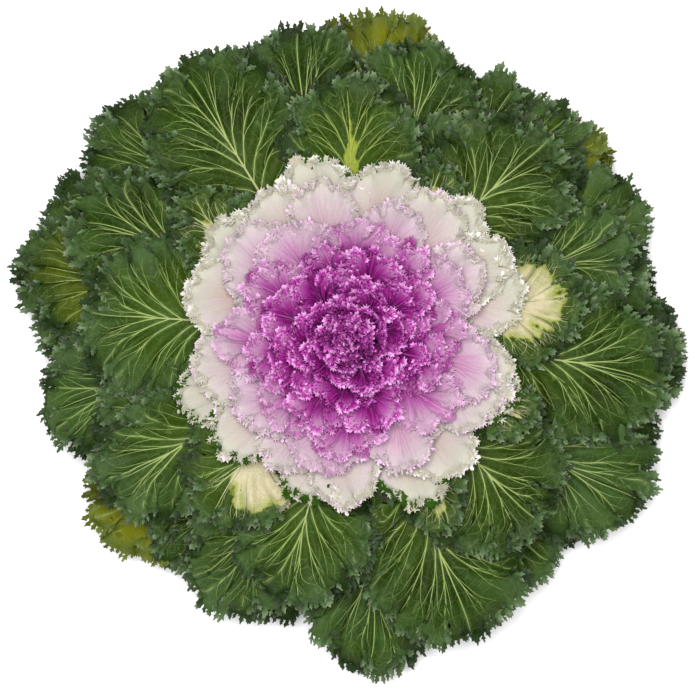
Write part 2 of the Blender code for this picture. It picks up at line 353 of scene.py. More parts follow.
class Leaf:
    """One leaf: its place, its outline, its ruffles and its veins."""

    def __init__(self, place, style, seed):
        self.azimuth, self.reach, self.half_width, self.root, self.origin, self.height = place
        self.style = style
        self.draw = random.Random(seed)
        self.tone = self.draw.random()
        self.olive = 0.0
        self.cream = 0.0
        self.side = 0.0
        self.rank = 0.0
        self.above = []
        self.below = []
        self.outline()
        self.ruffle()
        self.vein_plan()

    def outline(self):
        """The smooth outline, the feet of its rays on the midrib and its length along the margin."""
        style = self.style
        across = np.linspace(-1, 1, OUTLINE_SAMPLES)
        blade = self.reach - self.origin
        self.axis = blade * ELLIPSE_SHARE
        turn = across * style.sweep
        middle = self.reach - self.axis
        edge = np.stack([middle + self.axis * np.cos(turn), self.half_width * np.sin(turn)], 1)
        foot_low = self.origin - FOOT_BACK * blade
        foot_high = self.origin + style.foot_spread * blade
        foot = np.zeros_like(edge)
        foot[:, 0] = foot_low + (foot_high - foot_low) * (1 - np.abs(across)) ** FOOT_POWER
        ray = edge - foot
        ray_length = np.linalg.norm(ray, axis=1, keepdims=True)
        forward = ray / ray_length * RAY_SHARE + np.array([[FORWARD_SHARE, 0.0]])
        forward /= np.linalg.norm(forward, axis=1, keepdims=True)
        step = np.gradient(edge, across, axis=0)
        speed = np.linalg.norm(step, axis=1)
        self.across = across
        self.edge = edge
        self.foot = foot
        self.bend = foot + forward * ray_length * BEND_PLACE
        self.ray_length = ray_length[:, 0]
        self.tangent = step / speed[:, None]
        self.outward = np.stack([self.tangent[:, 1], -self.tangent[:, 0]], 1)
        self.speed = speed
        self.run = np.concatenate([[0], np.cumsum((speed[1:] + speed[:-1]) / 2 * np.diff(across))])

    def laid(self, folds):
        """Folds laid along the whole margin: their bounds, rises, depths of notch and rolls."""
        draw = self.draw
        low, high = folds.widths
        bounds = [-draw.uniform(0, low)]
        while bounds[-1] < self.run[-1] + high:
            bounds.append(bounds[-1] + draw.uniform(low, high))
        first = draw.choice((0, 1))
        rise = []
        roll = []
        for i in range(len(bounds) - 1):
            size = draw.uniform(0.5, 1.0) * folds.rise
            up = (i + first) % 2
            rise.append(size if up else -size * folds.drop)
            roll.append(draw.uniform(*(folds.up_roll if up else folds.down_roll)))
        push = [draw.uniform(0.35, 1.0) for _ in rise]
        return folds, np.array(bounds), np.array(rise), np.array(push), np.array(roll)

    def ruffle(self):
        style = self.style
        self.waves, self.lobes, self.pleats, self.teeth = (
            self.laid(folds) for folds in (style.wave, style.lobe, style.pleat, style.tooth)
        )
        self.swell_phase = self.draw.uniform(0, math.tau)
        self.swell_turns = self.draw.uniform(2.2, 3.4)
        self.sway = self.draw.uniform(-1, 1) * style.lean

    def vein_plan(self):
        """The side veins, the branches that fork off them in turn and the twigs of those."""
        style = self.style
        draw = self.draw
        self.primaries = []
        self.veins = []
        gap = FAN_SHARE / style.side_veins
        for side in (-1, 1):
            for i in range(style.side_veins):
                place = side * (FAN_START + gap * (i + draw.uniform(0.30, 0.70)))
                end = style.vein_end - draw.uniform(0.0, 0.05)
                drift = draw.uniform(-MAIN_DRIFT, MAIN_DRIFT)
                swing = side * gap * draw.uniform(-0.1, 0.2)
                main = Vein(None, place, 0.0, swing, end, 1.00 - 0.3 * abs(place), drift)
                self.primaries.append(main)
                self.veins.append(main)
                turn = draw.choice((-1, 1))
                for start, spread in BRANCHES[: style.branches]:
                    turn = -turn
                    start += draw.uniform(-0.06, 0.06)
                    swing = turn * gap * spread * draw.uniform(0.85, 1.15)
                    end = style.vein_end - draw.uniform(0.02, 0.09)
                    drift = draw.uniform(-BRANCH_DRIFT, BRANCH_DRIFT)
                    branch = Vein(main, place, start, swing, end, 0.54 - 0.20 * start, drift)
                    self.veins.append(branch)
                    if style.branches < len(BRANCHES):
                        continue
                    for fork, spread in TWIGS:
                        fork = start + (1 - start) * (fork + draw.uniform(-0.08, 0.08))
                        end = style.vein_end - draw.uniform(0.05, 0.12)
                        swing = turn * gap * spread
                        self.veins.append(Vein(branch, place, fork, swing, end, TWIG_GIRTH, TWIG_DRIFT))

    def vein_gap(self, veins, across, along):
        """Distance to the nearest of some veins or the midrib, in metres on the blade."""
        speed = np.interp(across, self.across, self.speed) * np.maximum(along, 0.05)
        nearest = np.abs(across)
        for vein in veins:
            apart = np.abs(across - vein.across(along))
            beside = (along > vein.start) & (along < vein.end + PAST_END)
            nearest = np.where(beside, np.minimum(nearest, apart), nearest)
        return nearest * speed

    def folded(self, laid, run, gap):
        """How far some folds push a point outwards, along the margin and up, and their roll there."""
        folds, bounds, rise, push, roll = laid
        index = np.clip(np.searchsorted(bounds, run, side="right") - 1, 0, len(rise) - 1)
        width = bounds[index + 1] - bounds[index]
        part = np.clip((run - bounds[index]) / width, 0, 1)
        hump = np.sin(math.pi * part)
        near = np.exp(-((gap / folds.zone) ** 1.5))
        outwards = -folds.notch * push[index] * np.abs(2 * part - 1) ** 1.6 * near
        sideways = -folds.overlap * width * np.sin(math.tau * part) * near
        return outwards, sideways, rise[index] * hump * near, roll[index] * hump

    def at(self, across, along):
        """Points of the sheet's upper face in the head's frame, for arrays of across and along."""
        style = self.style

        def held(values):
            return np.stack([np.interp(across, self.across, values[:, i]) for i in (0, 1)], -1)

        foot, bend, edge, out, side = (
            held(values) for values in (self.foot, self.bend, self.edge, self.outward, self.tangent)
        )
        run = np.interp(across, self.across, self.run)
        ray = np.interp(across, self.across, self.ray_length)
        v = along[..., None]
        plan = (1 - v) ** 2 * foot + 2 * v * (1 - v) * bend + v**2 * edge
        gap = (1 - along) * ray
        ends = smooth(1.0, 0.80, np.abs(across))
        scale = smooth(0.0, FULL_RAY, ray)

        outwards, sideways, up, _ = self.folded(self.waves, run, gap)
        more_out, more_side, more_up, roll = self.folded(self.lobes, run, gap)
        roll = roll * ends * scale
        into = np.clip(style.curl_zone - gap, 0, None)
        angle = roll * into / style.curl_zone
        radius = style.curl_zone / np.where(np.abs(roll) < 1e-3, 1e-3, roll)
        outwards = (outwards + more_out) * scale + radius * np.sin(angle) - into
        sideways = sideways + more_side
        up = (up + more_up) * ends * scale + radius * (1 - np.cos(angle))
        for folds in (self.pleats, self.teeth):
            more_out, more_side, more_up, _ = self.folded(folds, run, gap)
            outwards = outwards + (more_out * np.cos(angle) - more_up * np.sin(angle)) * scale
            up = up + (more_up * np.cos(angle) + more_out * np.sin(angle)) * ends * scale
            sideways = sideways + more_side
        sideways = sideways * scale

        between = 1 - np.exp(-((self.vein_gap(self.primaries, across, along) / PUCKER_WIDTH) ** 2))
        up = up + style.pucker * between * smooth(0.02, 0.30, along) * smooth(1.0, 0.85, along)
        up = up + style.swell * np.sin(across * self.swell_turns * math.pi + self.swell_phase) * along**2

        plan = plan + out * outwards[..., None] + side * sideways[..., None]
        beyond = np.clip((plan[..., 0] - self.origin) / (self.reach - self.origin), 0, None)
        plan[..., 1] += self.sway * (self.reach - self.origin) * beyond**2
        point = np.concatenate([plan, np.zeros_like(plan[..., :1])], -1)
        point = turned(point, self.azimuth)
        radius = np.linalg.norm(point[..., :2], axis=-1)
        level = self.height(radius)
        point[..., 2] = level + self.kept_clear(point, radius, level, up)
        return point

    def outside(self, point):
        """How far a point lies outside this leaf seen from above: 0 within it, up to 1 well clear of it."""
        local = turned(point, -self.azimuth)
        x = (local[..., 0] - (self.reach - self.axis)) / self.axis
        y = local[..., 1] / self.half_width
        beyond = smooth(1.04, 1.16, np.sqrt(x * x + y * y))
        below = smooth(self.origin, self.origin - 0.2 * (self.reach - self.origin), local[..., 0])
        return np.maximum(beyond, below)

    def kept_clear(self, point, radius, level, up):
        """The rise, held back where another leaf lies over or under the point."""
        roof = np.clip(CAD_HIGH[2] - HEADROOM - level, 0.0, OPEN_AIR)
        for other in self.above:
            room = np.maximum(other.height(radius) - level, 0.0) + OPEN_AIR * other.outside(point)
            roof = np.minimum(roof, room)
        ground = np.full(radius.shape, OPEN_AIR)
        for other in self.below:
            room = np.maximum(level - other.height(radius), 0.0) + OPEN_AIR * other.outside(point)
            ground = np.minimum(ground, room)
        roof = np.maximum(roof * ROOF_SHARE - ROOF_GAP, LEAST_ROOM)
        ground = np.maximum(ground * GROUND_SHARE - GROUND_GAP, LEAST_ROOM)
        limit = np.where(up > 0, roof, ground)
        clear = limit * np.tanh(up / limit)
        return np.minimum(clear, np.maximum(CAD_HIGH[2] - HEADROOM - level, DEEPEST))


# How much of a green solid's inner end tells where its root is
FOOT_LENGTH = 0.0012
# Where along a green leaf its blade starts, and how much wider than the solid its sheet is
PETIOLE_SHARE = 0.45
WIDER = 1.02


def green_leaf(node, style, seed):
    """A leaf whose place is measured on its solid."""
    size = sizes()
    points = np.array([v.co for v in frame["nodes"][node].data.vertices])
    radius = np.linalg.norm(points[:, :2], axis=1)
    root = points[radius < radius.min() + FOOT_LENGTH]
    azimuth = math.atan2(root[:, 1].sum(), root[:, 0].sum())
    local = turned(points, -azimuth)
    reach = radius.max()
    start = radius.min()
    origin = start + (reach - start) * PETIOLE_SHARE
    half_width = np.abs(local[:, 1]).max() * WIDER
    base = root[:, 2].max()

    def height(distance):
        rise = size.rise * (1 - np.exp(-(distance - start) / size.rise_length))
        droop = size.droop * np.clip((distance - size.droop_start) / size.droop_length, 0, None) ** 2
        return base + rise - droop

    return Leaf((azimuth, reach, half_width, start, origin, height), style, seed)


# The first seeds of the leaves, of the heart leaves' stray and of the frills
GREEN_SEED, HEART_SEED, BUD_SEED, STRAY_SEED = 100, 500, 600, 900
GREEN_FRILL_SEED, HEART_FRILL_SEED, SEED_STEP, COLOUR_SEED_STEP = 1000, 3000, 7, 30
# The heart's spiral, as its solids follow it
GOLDEN_ANGLE = math.radians(137.508)
FIRST_HEART_AZIMUTH = math.radians(8)
REACH_POWER = 1.5
WIDEST_HALF_WIDTH = 0.0235
WIDTH_LENGTH = 0.0420
HEART_FAN_SHARE = 0.30
LOWEST_HEART_ROOT = 0.0600
HEART_ROOT_STEP = 0.00027
COLOUR_STEP = 0.0028
LOWEST_HEART_TIP = 0.0780
HIGHEST_HEART_TIP = 0.0985
TIP_POWER = 0.8
SLOPE_POWER = 1.2
HUB_FOOT = 0.0575
HUB_FOOT_RADIUS = 0.0125
HUB_TOP_RADIUS = 0.0045
CUPPING = 0.7
HEART_STRAY = math.radians(13)
HEART_REACH_STRAY = 0.0062
OUTER_HEART_LEAVES = 30
BUD_ROOT_STEP = 0.0002
BUD_REACH = 0.0100
BUD_CORE_REACH = 0.0035
BUD_HUB = 0.0015
BUD_TIP = 0.0965
BUD_DIP = -0.0030
BUD_WIDTH = 0.62
# node: the spiral's leaves that it holds, from the outermost inwards, and how many pieces they make
HEART_COLOURS = {
    "cream_leaves": (0, 21, 3),
    "blush_leaves": (21, 36, 2),
    "pink_leaves": (36, 50, 1),
    "magenta_heart": (50, 66, 1),
}


def heart_root(index, colour):
    return LOWEST_HEART_ROOT + index * HEART_ROOT_STEP + colour * COLOUR_STEP


def hub_radius_at(height):
    top = heart_root(sizes().heart_leaves, len(HEART_COLOURS) - 1)
    return HUB_FOOT_RADIUS + (HUB_TOP_RADIUS - HUB_FOOT_RADIUS) * (height - HUB_FOOT) / (top - HUB_FOOT)


def heart_leaf(index, colour):
    """The spiral's leaf of this index, as the solids place it."""
    size = sizes()
    share = index / (size.heart_leaves - 1)
    reach = size.core_reach + (size.heart_reach - size.core_reach) * (1 - share**REACH_POWER)
    half_width = WIDEST_HALF_WIDTH * (1 - math.exp(-reach / WIDTH_LENGTH))
    root = heart_root(index, colour)
    tip = LOWEST_HEART_TIP + (HIGHEST_HEART_TIP - LOWEST_HEART_TIP) * share**TIP_POWER
    hub = hub_radius_at(root)
    origin = hub + (reach - hub) * HEART_FAN_SHARE
    draw = random.Random(STRAY_SEED + index)
    azimuth = FIRST_HEART_AZIMUTH + index * GOLDEN_ANGLE + draw.uniform(-1, 1) * HEART_STRAY
    reach += draw.uniform(-1, 0.3) * HEART_REACH_STRAY
    half_width *= draw.uniform(0.88, 1.18)

    def height(distance):
        part = np.clip((distance - hub) / (reach - hub), 0, 1.2)
        return root + (tip - root) * part**slope

    slope = SLOPE_POWER + CUPPING * float(smooth(0.2, 0.6, share))
    style = HEART_OUTER if index < OUTER_HEART_LEAVES else HEART
    leaf = Leaf((azimuth, reach, half_width, hub, origin, height), style, HEART_SEED + index)
    leaf.rank = share
    return leaf


def bud_leaf(number):
    """One of the small leaves that close the heart over its growing point."""
    size = sizes()
    share = number / (size.bud_leaves - 1)
    index = size.heart_leaves + number
    root = heart_root(size.heart_leaves - 1, len(HEART_COLOURS) - 1) + number * BUD_ROOT_STEP
    reach = BUD_REACH + (BUD_CORE_REACH - BUD_REACH) * share
    hub = BUD_HUB
    tip = BUD_TIP + BUD_DIP * share

    def height(distance):
        return root + (tip - root) * np.clip((distance - hub) / (reach - hub), 0, 1.2) ** SLOPE_POWER

    origin = hub + (reach - hub) * HEART_FAN_SHARE
    azimuth = FIRST_HEART_AZIMUTH + index * GOLDEN_ANGLE
    leaf = Leaf((azimuth, reach, reach * BUD_WIDTH, hub, origin, height), HEART, BUD_SEED + number)
    leaf.rank = 1.0
    return leaf


# Leaves turned further apart than this cannot lie over one another, unless one is this short
APART = math.radians(75)
SHORT_REACH = 0.045
# Where along the shorter one it is told which of two leaves is higher
COMPARED_AT = 0.9


def all_leaves():
    """Every leaf by node, each knowing the leaves that lie over and under it."""
    leaves = {}
    greens = [n for n in sorted(frame["nodes"]) if "leaf" in n]
    for seed, node in enumerate(greens):
        kind = node.split("_")[0]
        style = {"outer": HIDDEN_GREEN, "olive": HIDDEN_GREEN, "variegated": VARIEGATED}.get(kind, GREEN)
        leaves[node] = [green_leaf(node, style, GREEN_SEED + seed)]
    for colour, (node, (first, end, _)) in enumerate(HEART_COLOURS.items()):
        leaves[node] = [heart_leaf(index, colour) for index in range(first, end)]
    leaves["magenta_heart"] += [bud_leaf(number) for number in range(sizes().bud_leaves)]
    flat = [leaf for group in leaves.values() for leaf in group]
    for leaf in flat:
        for other in flat:
            if other is leaf:
                continue
            turn = abs((other.azimuth - leaf.azimuth + math.pi) % math.tau - math.pi)
            if turn > APART and min(other.reach, leaf.reach) > SHORT_REACH:
                continue
            place = np.array(min(leaf.reach, other.reach) * COMPARED_AT)
            higher = other.height(place) > leaf.height(place)
            (leaf.above if higher else leaf.below).append(other)
    return leaves


# Values at every point of a blade, for the materials
VALUES = ("across", "along", "edge", "vein_gap", "lift", "tone", "olive", "cream", "side", "rank")


class Mesher:
    """Collects sheets, with the values that their materials read, into one mesh."""

    def __init__(self):
        self.points = []
        self.faces = []
        self.slots = []
        self.values = {name: [] for name in VALUES}
        self.rims = []
        self.plan = []
        self.count = 0

    def add(self, points, faces, slots, values, plan, rim=0):
        """Add some faces, of which the last few are the rim between an upper and a lower side."""
        self.points.append(points)
        self.rims.append(np.arange(len(faces)) >= len(faces) - rim)
        self.faces.append(faces + self.count)
        self.slots.append(slots)
        for name, held in self.values.items():
            held.append(np.broadcast_to(values.get(name, 0.0), len(points)))
        self.plan.append(plan)
        self.count += len(points)

    def mesh(self, name, materials):
        points = np.concatenate(self.points)
        faces = np.concatenate(self.faces)
        mesh = bpy.data.meshes.new(name)
        mesh.vertices.add(len(points))
        mesh.vertices.foreach_set("co", points.astype(np.float32).ravel())
        mesh.loops.add(len(faces) * 3)
        mesh.loops.foreach_set("vertex_index", faces.astype(np.int32).ravel())
        mesh.polygons.add(len(faces))
        mesh.polygons.foreach_set("loop_start", np.arange(0, len(faces) * 3, 3, dtype=np.int32))
        mesh.update(calc_edges=True)
        for material in materials:
            mesh.materials.append(material)
        mesh.polygons.foreach_set("material_index", np.concatenate(self.slots).astype(np.int32))
        flat = mesh.attributes.new("sharp_face", "BOOLEAN", "FACE")
        flat.data.foreach_set("value", np.concatenate(self.rims))
        for value, held in self.values.items():
            attribute = mesh.attributes.new(value, "FLOAT", "POINT")
            attribute.data.foreach_set("value", np.concatenate(held).astype(np.float32))
        layer = mesh.uv_layers.new(name="plan")
        layer.data.foreach_set("uv", np.concatenate(self.plan)[faces.ravel()].astype(np.float32).ravel())
        mesh.validate()
        return mesh


def sheet_rows(leaf):
    """Row by row, the across and along of a sheet's points and their numbers."""
    steps = 2 * max(3, round(leaf.run[-1] / leaf.style.margin_step / FRILL_ROWS[-1][2] / 2))
    rows = []
    number = 0
    for place, most, multiple in [(share, None, m) for share, m in INNER_ROWS] + FRILL_ROWS:
        count = steps * multiple
        across = np.linspace(-1, 1, count + 1)
        ray = np.interp(across, leaf.across, leaf.ray_length)
        if most is None:
            frill, limit, _ = FRILL_ROWS[0]
            along = place * (1 - np.minimum(frill / ray, limit))
        else:
            along = 1 - np.minimum(place / ray, most)
        index = np.arange(count + 1) + number
        if place == 0.0 and most is None:
            half = count // 2
            index = np.concatenate([np.arange(half + 1), np.arange(half - 1, -1, -1)]) + number
            across, along = across[: half + 1], along[: half + 1]
        rows.append((across, along, index))
        number += len(across)
    return rows


def stitch(near, far):
    """Triangles between two rows of points, the farther with as many or twice as many steps."""
    if len(far) == len(near):
        a, b, c, d = near[:-1], near[1:], far[1:], far[:-1]
        faces = np.concatenate([np.stack([a, d, c], 1), np.stack([a, c, b], 1)])
    else:
        a, b = near[:-1], near[1:]
        c, d, e = far[:-1:2], far[1::2], far[2::2]
        faces = np.concatenate([np.stack([a, c, d], 1), np.stack([a, d, b], 1), np.stack([b, d, e], 1)])
    degenerate = (faces[:, 0] == faces[:, 1]) | (faces[:, 1] == faces[:, 2]) | (faces[:, 0] == faces[:, 2])
    return faces[~degenerate]


def unit(vectors):
    return vectors / np.maximum(np.linalg.norm(vectors, axis=1, keepdims=True), 1e-9)


def point_normals(points, faces):
    normals = np.zeros_like(points)
    a, b, c = (points[faces[:, i]] for i in range(3))
    across = np.cross(b - a, c - a)
    for i in range(3):
        np.add.at(normals, faces[:, i], across)
    return unit(normals)


# The rise over a leaf's own level that counts as a crest, which the materials paint lighter and hollows
# darker as painted light and shade, and how much lower each further row of lace counts, which gives it
# painted shade
LIFT = 0.0030
ROW_DEPTH = 0.35
# How steeply the further rows stand up from the blade, and how far every lobe turns its face up
ROW_TILT = math.radians(28)
FACE_UP = 0.6
# From here inwards the heart's leaves carry one more row of lace
DENSE_LACE_RANK = 0.40


def add_sheet(mesher, leaf):
    """A leaf's blade: an upper face, a lower face and the strip between. Returns its margin's frame."""
    rows = sheet_rows(leaf)
    across = np.concatenate([row[0] for row in rows])
    along = np.concatenate([row[1] for row in rows])
    top = leaf.at(across, along)
    faces = np.concatenate([stitch(near[2], far[2]) for near, far in zip(rows, rows[1:])])
    normals = point_normals(top, faces)
    if normals[:, 2].sum() < 0:
        faces = faces[:, ::-1]
        normals = -normals
    low = top - normals * sizes().blade
    size = len(top)
    left = [row[2][0] for row in rows]
    right = [row[2][-1] for row in rows]
    rim = np.concatenate([left[:-1], rows[-1][2], right[-2:0:-1]])
    onward = np.roll(rim, -1)
    strip = np.concatenate(
        [np.stack([rim, onward, onward + size], 1), np.stack([rim, onward + size, rim + size], 1)]
    )
    if signed_area(top[rim]) > 0:
        strip = strip[:, ::-1]
    ray = np.interp(across, leaf.across, leaf.ray_length)
    gap = (1 - along) * ray
    zone = np.minimum(leaf.style.curl_zone * 1.5, ray * 0.38)
    edge = 1 - smooth(0.0, 1.0, gap / np.maximum(zone, MM))
    vein_gap = np.minimum(leaf.vein_gap(leaf.primaries, across, along) / MM, 10.0)
    lift = np.clip((top[:, 2] - leaf.height(np.linalg.norm(top[:, :2], axis=1))) / LIFT, -1, 1)
    values = {"lift": lift, "across": across, "along": along, "edge": edge, "vein_gap": vein_gap}
    values = {name: np.tile(held, 2) for name, held in values.items()}
    values.update({name: getattr(leaf, name) for name in ("tone", "olive", "cream", "side", "rank")})
    plan = turned(top, -leaf.azimuth)[:, :2]
    slots = np.concatenate([np.zeros(len(faces)), np.ones(len(faces)), np.zeros(len(strip))])
    whole = np.concatenate([faces, faces[:, ::-1] + size, strip])
    mesher.add(np.concatenate([top, low]), whole, slots, values, np.tile(plan, (2, 1)), rim=len(strip))
    lines = []
    lace_rows = leaf.style.lace_rows + (leaf.rank > DENSE_LACE_RANK) - 2 * (leaf.rank >= 1)
    for back in range(lace_rows):
        line, before = rows[-1 - 2 * back][2], rows[-2 - 2 * back][2]
        if len(line) != len(before):
            places, known = np.linspace(0, 1, len(line)), np.linspace(0, 1, len(before))
            before = np.interp(places, known, before).round().astype(int)
        out = unit(top[line] - top[before])
        if back:
            out = out * math.cos(ROW_TILT) + normals[line] * math.sin(ROW_TILT)
        facing = unit(normals[line] * (1 - FACE_UP) + np.array([0.0, 0.0, FACE_UP]))
        away = unit(top[line] * np.array([1.0, 1.0, 0.0])) * FACE_UP
        out = unit(out + away - facing * np.sum((out + away) * facing, axis=1, keepdims=True))
        # Each further row counts lower, so its lobes get painted shade
        lines.append((top[line], out, facing, lift[line] - ROW_DEPTH * back))
    return lines


# The growing tip: how high its dome is, the angles of the dome's rings and the sides of a ring
DOME = 0.0030
DOME_ANGLES = (30, 55, 75)
HUB_SIDES = 24


def add_hub(mesher):
    """The growing tip that the heart's leaves are set round, domed over at its top."""
    top = heart_root(sizes().heart_leaves, len(HEART_COLOURS) - 1)
    heights = np.linspace(HUB_FOOT, top, 7)
    rings = [(hub_radius_at(z), z) for z in heights]
    for turn in DOME_ANGLES:
        angle = math.radians(turn)
        rings.append((HUB_TOP_RADIUS * math.cos(angle), top + DOME * math.sin(angle)))
    sides = HUB_SIDES
    turns = np.arange(sides) * math.tau / sides
    points = [(r * math.cos(a), r * math.sin(a), z) for r, z in rings for a in turns]
    points += [(0, 0, rings[0][1]), (0, 0, top + DOME)]
    faces = []
    for ring in range(len(rings) - 1):
        for i in range(sides):
            a, b = ring * sides + i, ring * sides + (i + 1) % sides
            faces += [(a, b, b + sides), (a, b + sides, a + sides)]
    low, high = len(points) - 2, len(points) - 1
    last = (len(rings) - 1) * sides
    for i in range(sides):
        j = (i + 1) % sides
        faces += [(j, i, low), (last + i, last + j, high)]
    points = np.array(points)
    mesher.add(points, np.array(faces), np.zeros(len(faces)), {"rank": 1.0, "vein_gap": 10.0}, points[:, :2])


def signed_area(points):
    """Twice the area that a loop encloses seen from above, positive where it runs anticlockwise."""
    x, y = points[:, 0], points[:, 1]
    return float(np.sum(x * np.roll(y, -1) - np.roll(x, -1) * y))


def line_mesh(name, lines, values):
    """A mesh of open lines with a value, or a vector, at each point. It guides a node tree."""
    mesh = bpy.data.meshes.new(name)
    points = np.concatenate(lines)
    edges = []
    first = 0
    for line in lines:
        edges += [(first + i, first + i + 1) for i in range(len(line) - 1)]
        first += len(line)
    mesh.from_pydata(points.tolist(), edges, [])
    for value, held in values.items():
        held = np.concatenate(held).astype(np.float32)
        kind = "FLOAT_VECTOR" if held.ndim == 2 else "FLOAT"
        attribute = mesh.attributes.new(value, kind, "POINT")
        attribute.data.foreach_set("vector" if held.ndim == 2 else "value", held.ravel())
    return mesh


def vein_lines(leaf):
    """The veins as lines on the blade: midrib, side veins and their forks, with a girth at each point."""
    style = leaf.style
    radius = sizes().vein * style.vein_girth
    foot = leaf.foot[0, 0]
    stem = np.linspace(leaf.root - 0.0004, foot, 10)[:-1]
    stem = turned(np.stack([stem, np.zeros_like(stem), np.zeros_like(stem)], 1), leaf.azimuth)
    stem[:, 2] = leaf.height(np.linalg.norm(stem[:, :2], axis=1))
    middle = leaf.at(np.linspace(-1, 0, 22)[:-1], np.zeros(21))
    outer = np.linspace(0, style.vein_end, 16)
    tip = leaf.at(np.zeros(len(outer)), outer)
    midrib = np.concatenate([stem, middle, tip])
    run = np.concatenate([[0], np.cumsum(np.linalg.norm(np.diff(midrib, axis=0), axis=1))])
    girth = style.rib_root * (1 - run / run[-1]) ** 0.95 + radius * 0.35
    midrib[:, 2] -= girth * RIB_SUNK
    lines = [midrib]
    girths = [girth]
    inner = np.zeros(len(midrib) - len(outer))
    places = [(np.zeros(len(midrib)), np.concatenate([inner, outer]))]
    courses = []
    for vein in leaf.veins if leaf.rank < style.veined_up_to else []:
        count = max(5, round(18 * (vein.end - vein.start)))
        along = np.linspace(vein.start * vein.end, vein.end, count)
        courses.append((vein.across(along), along))
    if not courses:
        return lines, girths, places
    points = leaf.at(*(np.concatenate(held) for held in zip(*courses)))
    first = 0
    for vein, (across, along) in zip(leaf.veins, courses):
        line = points[first : first + len(along)]
        first += len(along)
        girth = radius * vein.girth * (1 - 0.70 * np.linspace(0, 1, len(along)) ** 0.8)
        line[:, 2] -= girth * VEIN_SUNK
        lines.append(line)
        girths.append(girth)
    return lines, girths, places + courses


class Graph:
    """A node tree under construction: makes nodes, sets their inputs and joins them.

    Where an input takes a number, a string stands for the attribute of that name.
    """

    def __init__(self, tree):
        self.tree = tree

    def feed(self, socket, value):
        """Set an input, or join it to the output that is given."""
        if isinstance(value, str) and socket.type == "VALUE":
            value = self.node("ShaderNodeAttribute", attribute_name=value).outputs["Fac"]
        if isinstance(value, bpy.types.NodeSocket):
            self.tree.links.new(value, socket)
        elif socket.type == "RGBA":
            socket.default_value = (*value[:3], 1.0)
        else:
            socket.default_value = value

    def node(self, kind, inputs=None, **settings):
        """A new node. Its inputs are given by name or by number."""
        made = self.tree.nodes.new(kind)
        for name, value in settings.items():
            setattr(made, name, value)
        for name, value in (inputs or {}).items():
            self.feed(made.inputs[name], value)
        return made

    def math(self, operation, first, second=0.0, clamp=False):
        names = {0: first, 1: second}
        return self.node("ShaderNodeMath", names, operation=operation, use_clamp=clamp).outputs[0]

    def plus(self, first, second, clamp=False):
        return self.math("ADD", first, second, clamp)

    def less(self, first, second, clamp=False):
        return self.math("SUBTRACT", first, second, clamp)

    def times(self, first, *others):
        for other in others:
            first = self.math("MULTIPLY", first, other)
        return first

    def mix(self, factor, first, second):
        """A colour between two others."""
        names = {0: factor, 6: first, 7: second}
        return self.node("ShaderNodeMix", names, data_type="RGBA", clamp_factor=True).outputs[2]

    def toward(self, colour, other, *factors):
        """A colour taken towards another, by the product of some factors."""
        return self.mix(self.times(*factors), colour, other)

    def ramp(self, factor, stops):
        made = self.node("ShaderNodeValToRGB", {"Fac": factor})
        elements = made.color_ramp.elements
        while len(elements) < len(stops):
            elements.new(0.5)
        for element, (position, colour) in zip(elements, stops):
            element.position = position
            element.color = (*colour[:3], 1.0)
        return made.outputs["Color"]

    def span(self, value, low, high):
        """The value's place between low and high, from 0 to 1."""
        names = {"Value": value, "From Min": low, "From Max": high}
        return self.node("ShaderNodeMapRange", names, clamp=True).outputs[0]

    def noise(self, where, scale, **names):
        """A noise texture of this scale."""
        names = {"Vector": where, "Scale": scale, **names}
        return self.node("ShaderNodeTexNoise", names)

    def group(self, tree, inputs):
        """The outputs of a node group."""
        return self.node("ShaderNodeGroup", inputs, node_tree=tree).outputs


def shader_group(name, inputs, outputs, fill):
    """A shader node group, built once."""
    group = bpy.data.node_groups.get(name)
    if group:
        return group
    group = bpy.data.node_groups.new(name, "ShaderNodeTree")
    for label, kind, default in inputs:
        socket = group.interface.new_socket(label, in_out="INPUT", socket_type=kind)
        if default is not None:
            socket.default_value = default
    for label in outputs:
        group.interface.new_socket(label, in_out="OUTPUT", socket_type="NodeSocketFloat")
    graph = Graph(group)
    fill(graph, graph.node("NodeGroupInput").outputs, graph.node("NodeGroupOutput").inputs)
    return group


def mottled(graph, where, scale):
    """Uneven patches and fine grain."""

    def fill(graph, given, wanted):
        broad = graph.noise(given["Vector"], given["Scale"], Detail=3.0, Roughness=0.55)
        grain = graph.noise(given["Vector"], graph.times(given["Scale"], 11.0), Detail=2.0)
        graph.feed(wanted["Patches"], graph.span(broad.outputs["Fac"], 0.30, 0.70))
        graph.feed(wanted["Grain"], grain.outputs["Fac"])

    inputs = [("Vector", "NodeSocketVector", None), ("Scale", "NodeSocketFloat", 30.0)]
    group = shader_group("Leaf mottle", inputs, ("Patches", "Grain"), fill)
    return graph.group(group, {"Vector": where, "Scale": scale})


# The two nets between the side veins, coarse and fine: cells per metre, width of a vein and its weight
NETS = ((170.0, 0.045, 1.0), (520.0, 0.080, 0.40))


def vein_net(graph, where):
    """The net of fine veins between the side veins."""

    def fill(graph, given, wanted):
        drift = graph.noise(given["Vector"], 160.0, Detail=1.0).outputs["Color"]
        names = {0: drift, 1: (0.0022, 0.0022, 0.0), 2: given["Vector"]}
        bent = graph.node("ShaderNodeVectorMath", names, operation="MULTIPLY_ADD").outputs[0]
        masks = []
        for scale, width, weight in NETS:
            names = {"Vector": bent, "Scale": scale}
            cells = graph.node("ShaderNodeTexVoronoi", names, feature="DISTANCE_TO_EDGE")
            masks.append(graph.times(graph.span(cells.outputs["Distance"], width, 0.0), weight))
        graph.feed(wanted["Net"], graph.math("MAXIMUM", *masks))

    group = shader_group("Vein net", [("Vector", "NodeSocketVector", None)], ("Net",), fill)
    return graph.group(group, {"Vector": where})["Net"]


# How much further out the pale part reaches at the margin of its paler side
PALE_SIDE = 0.8


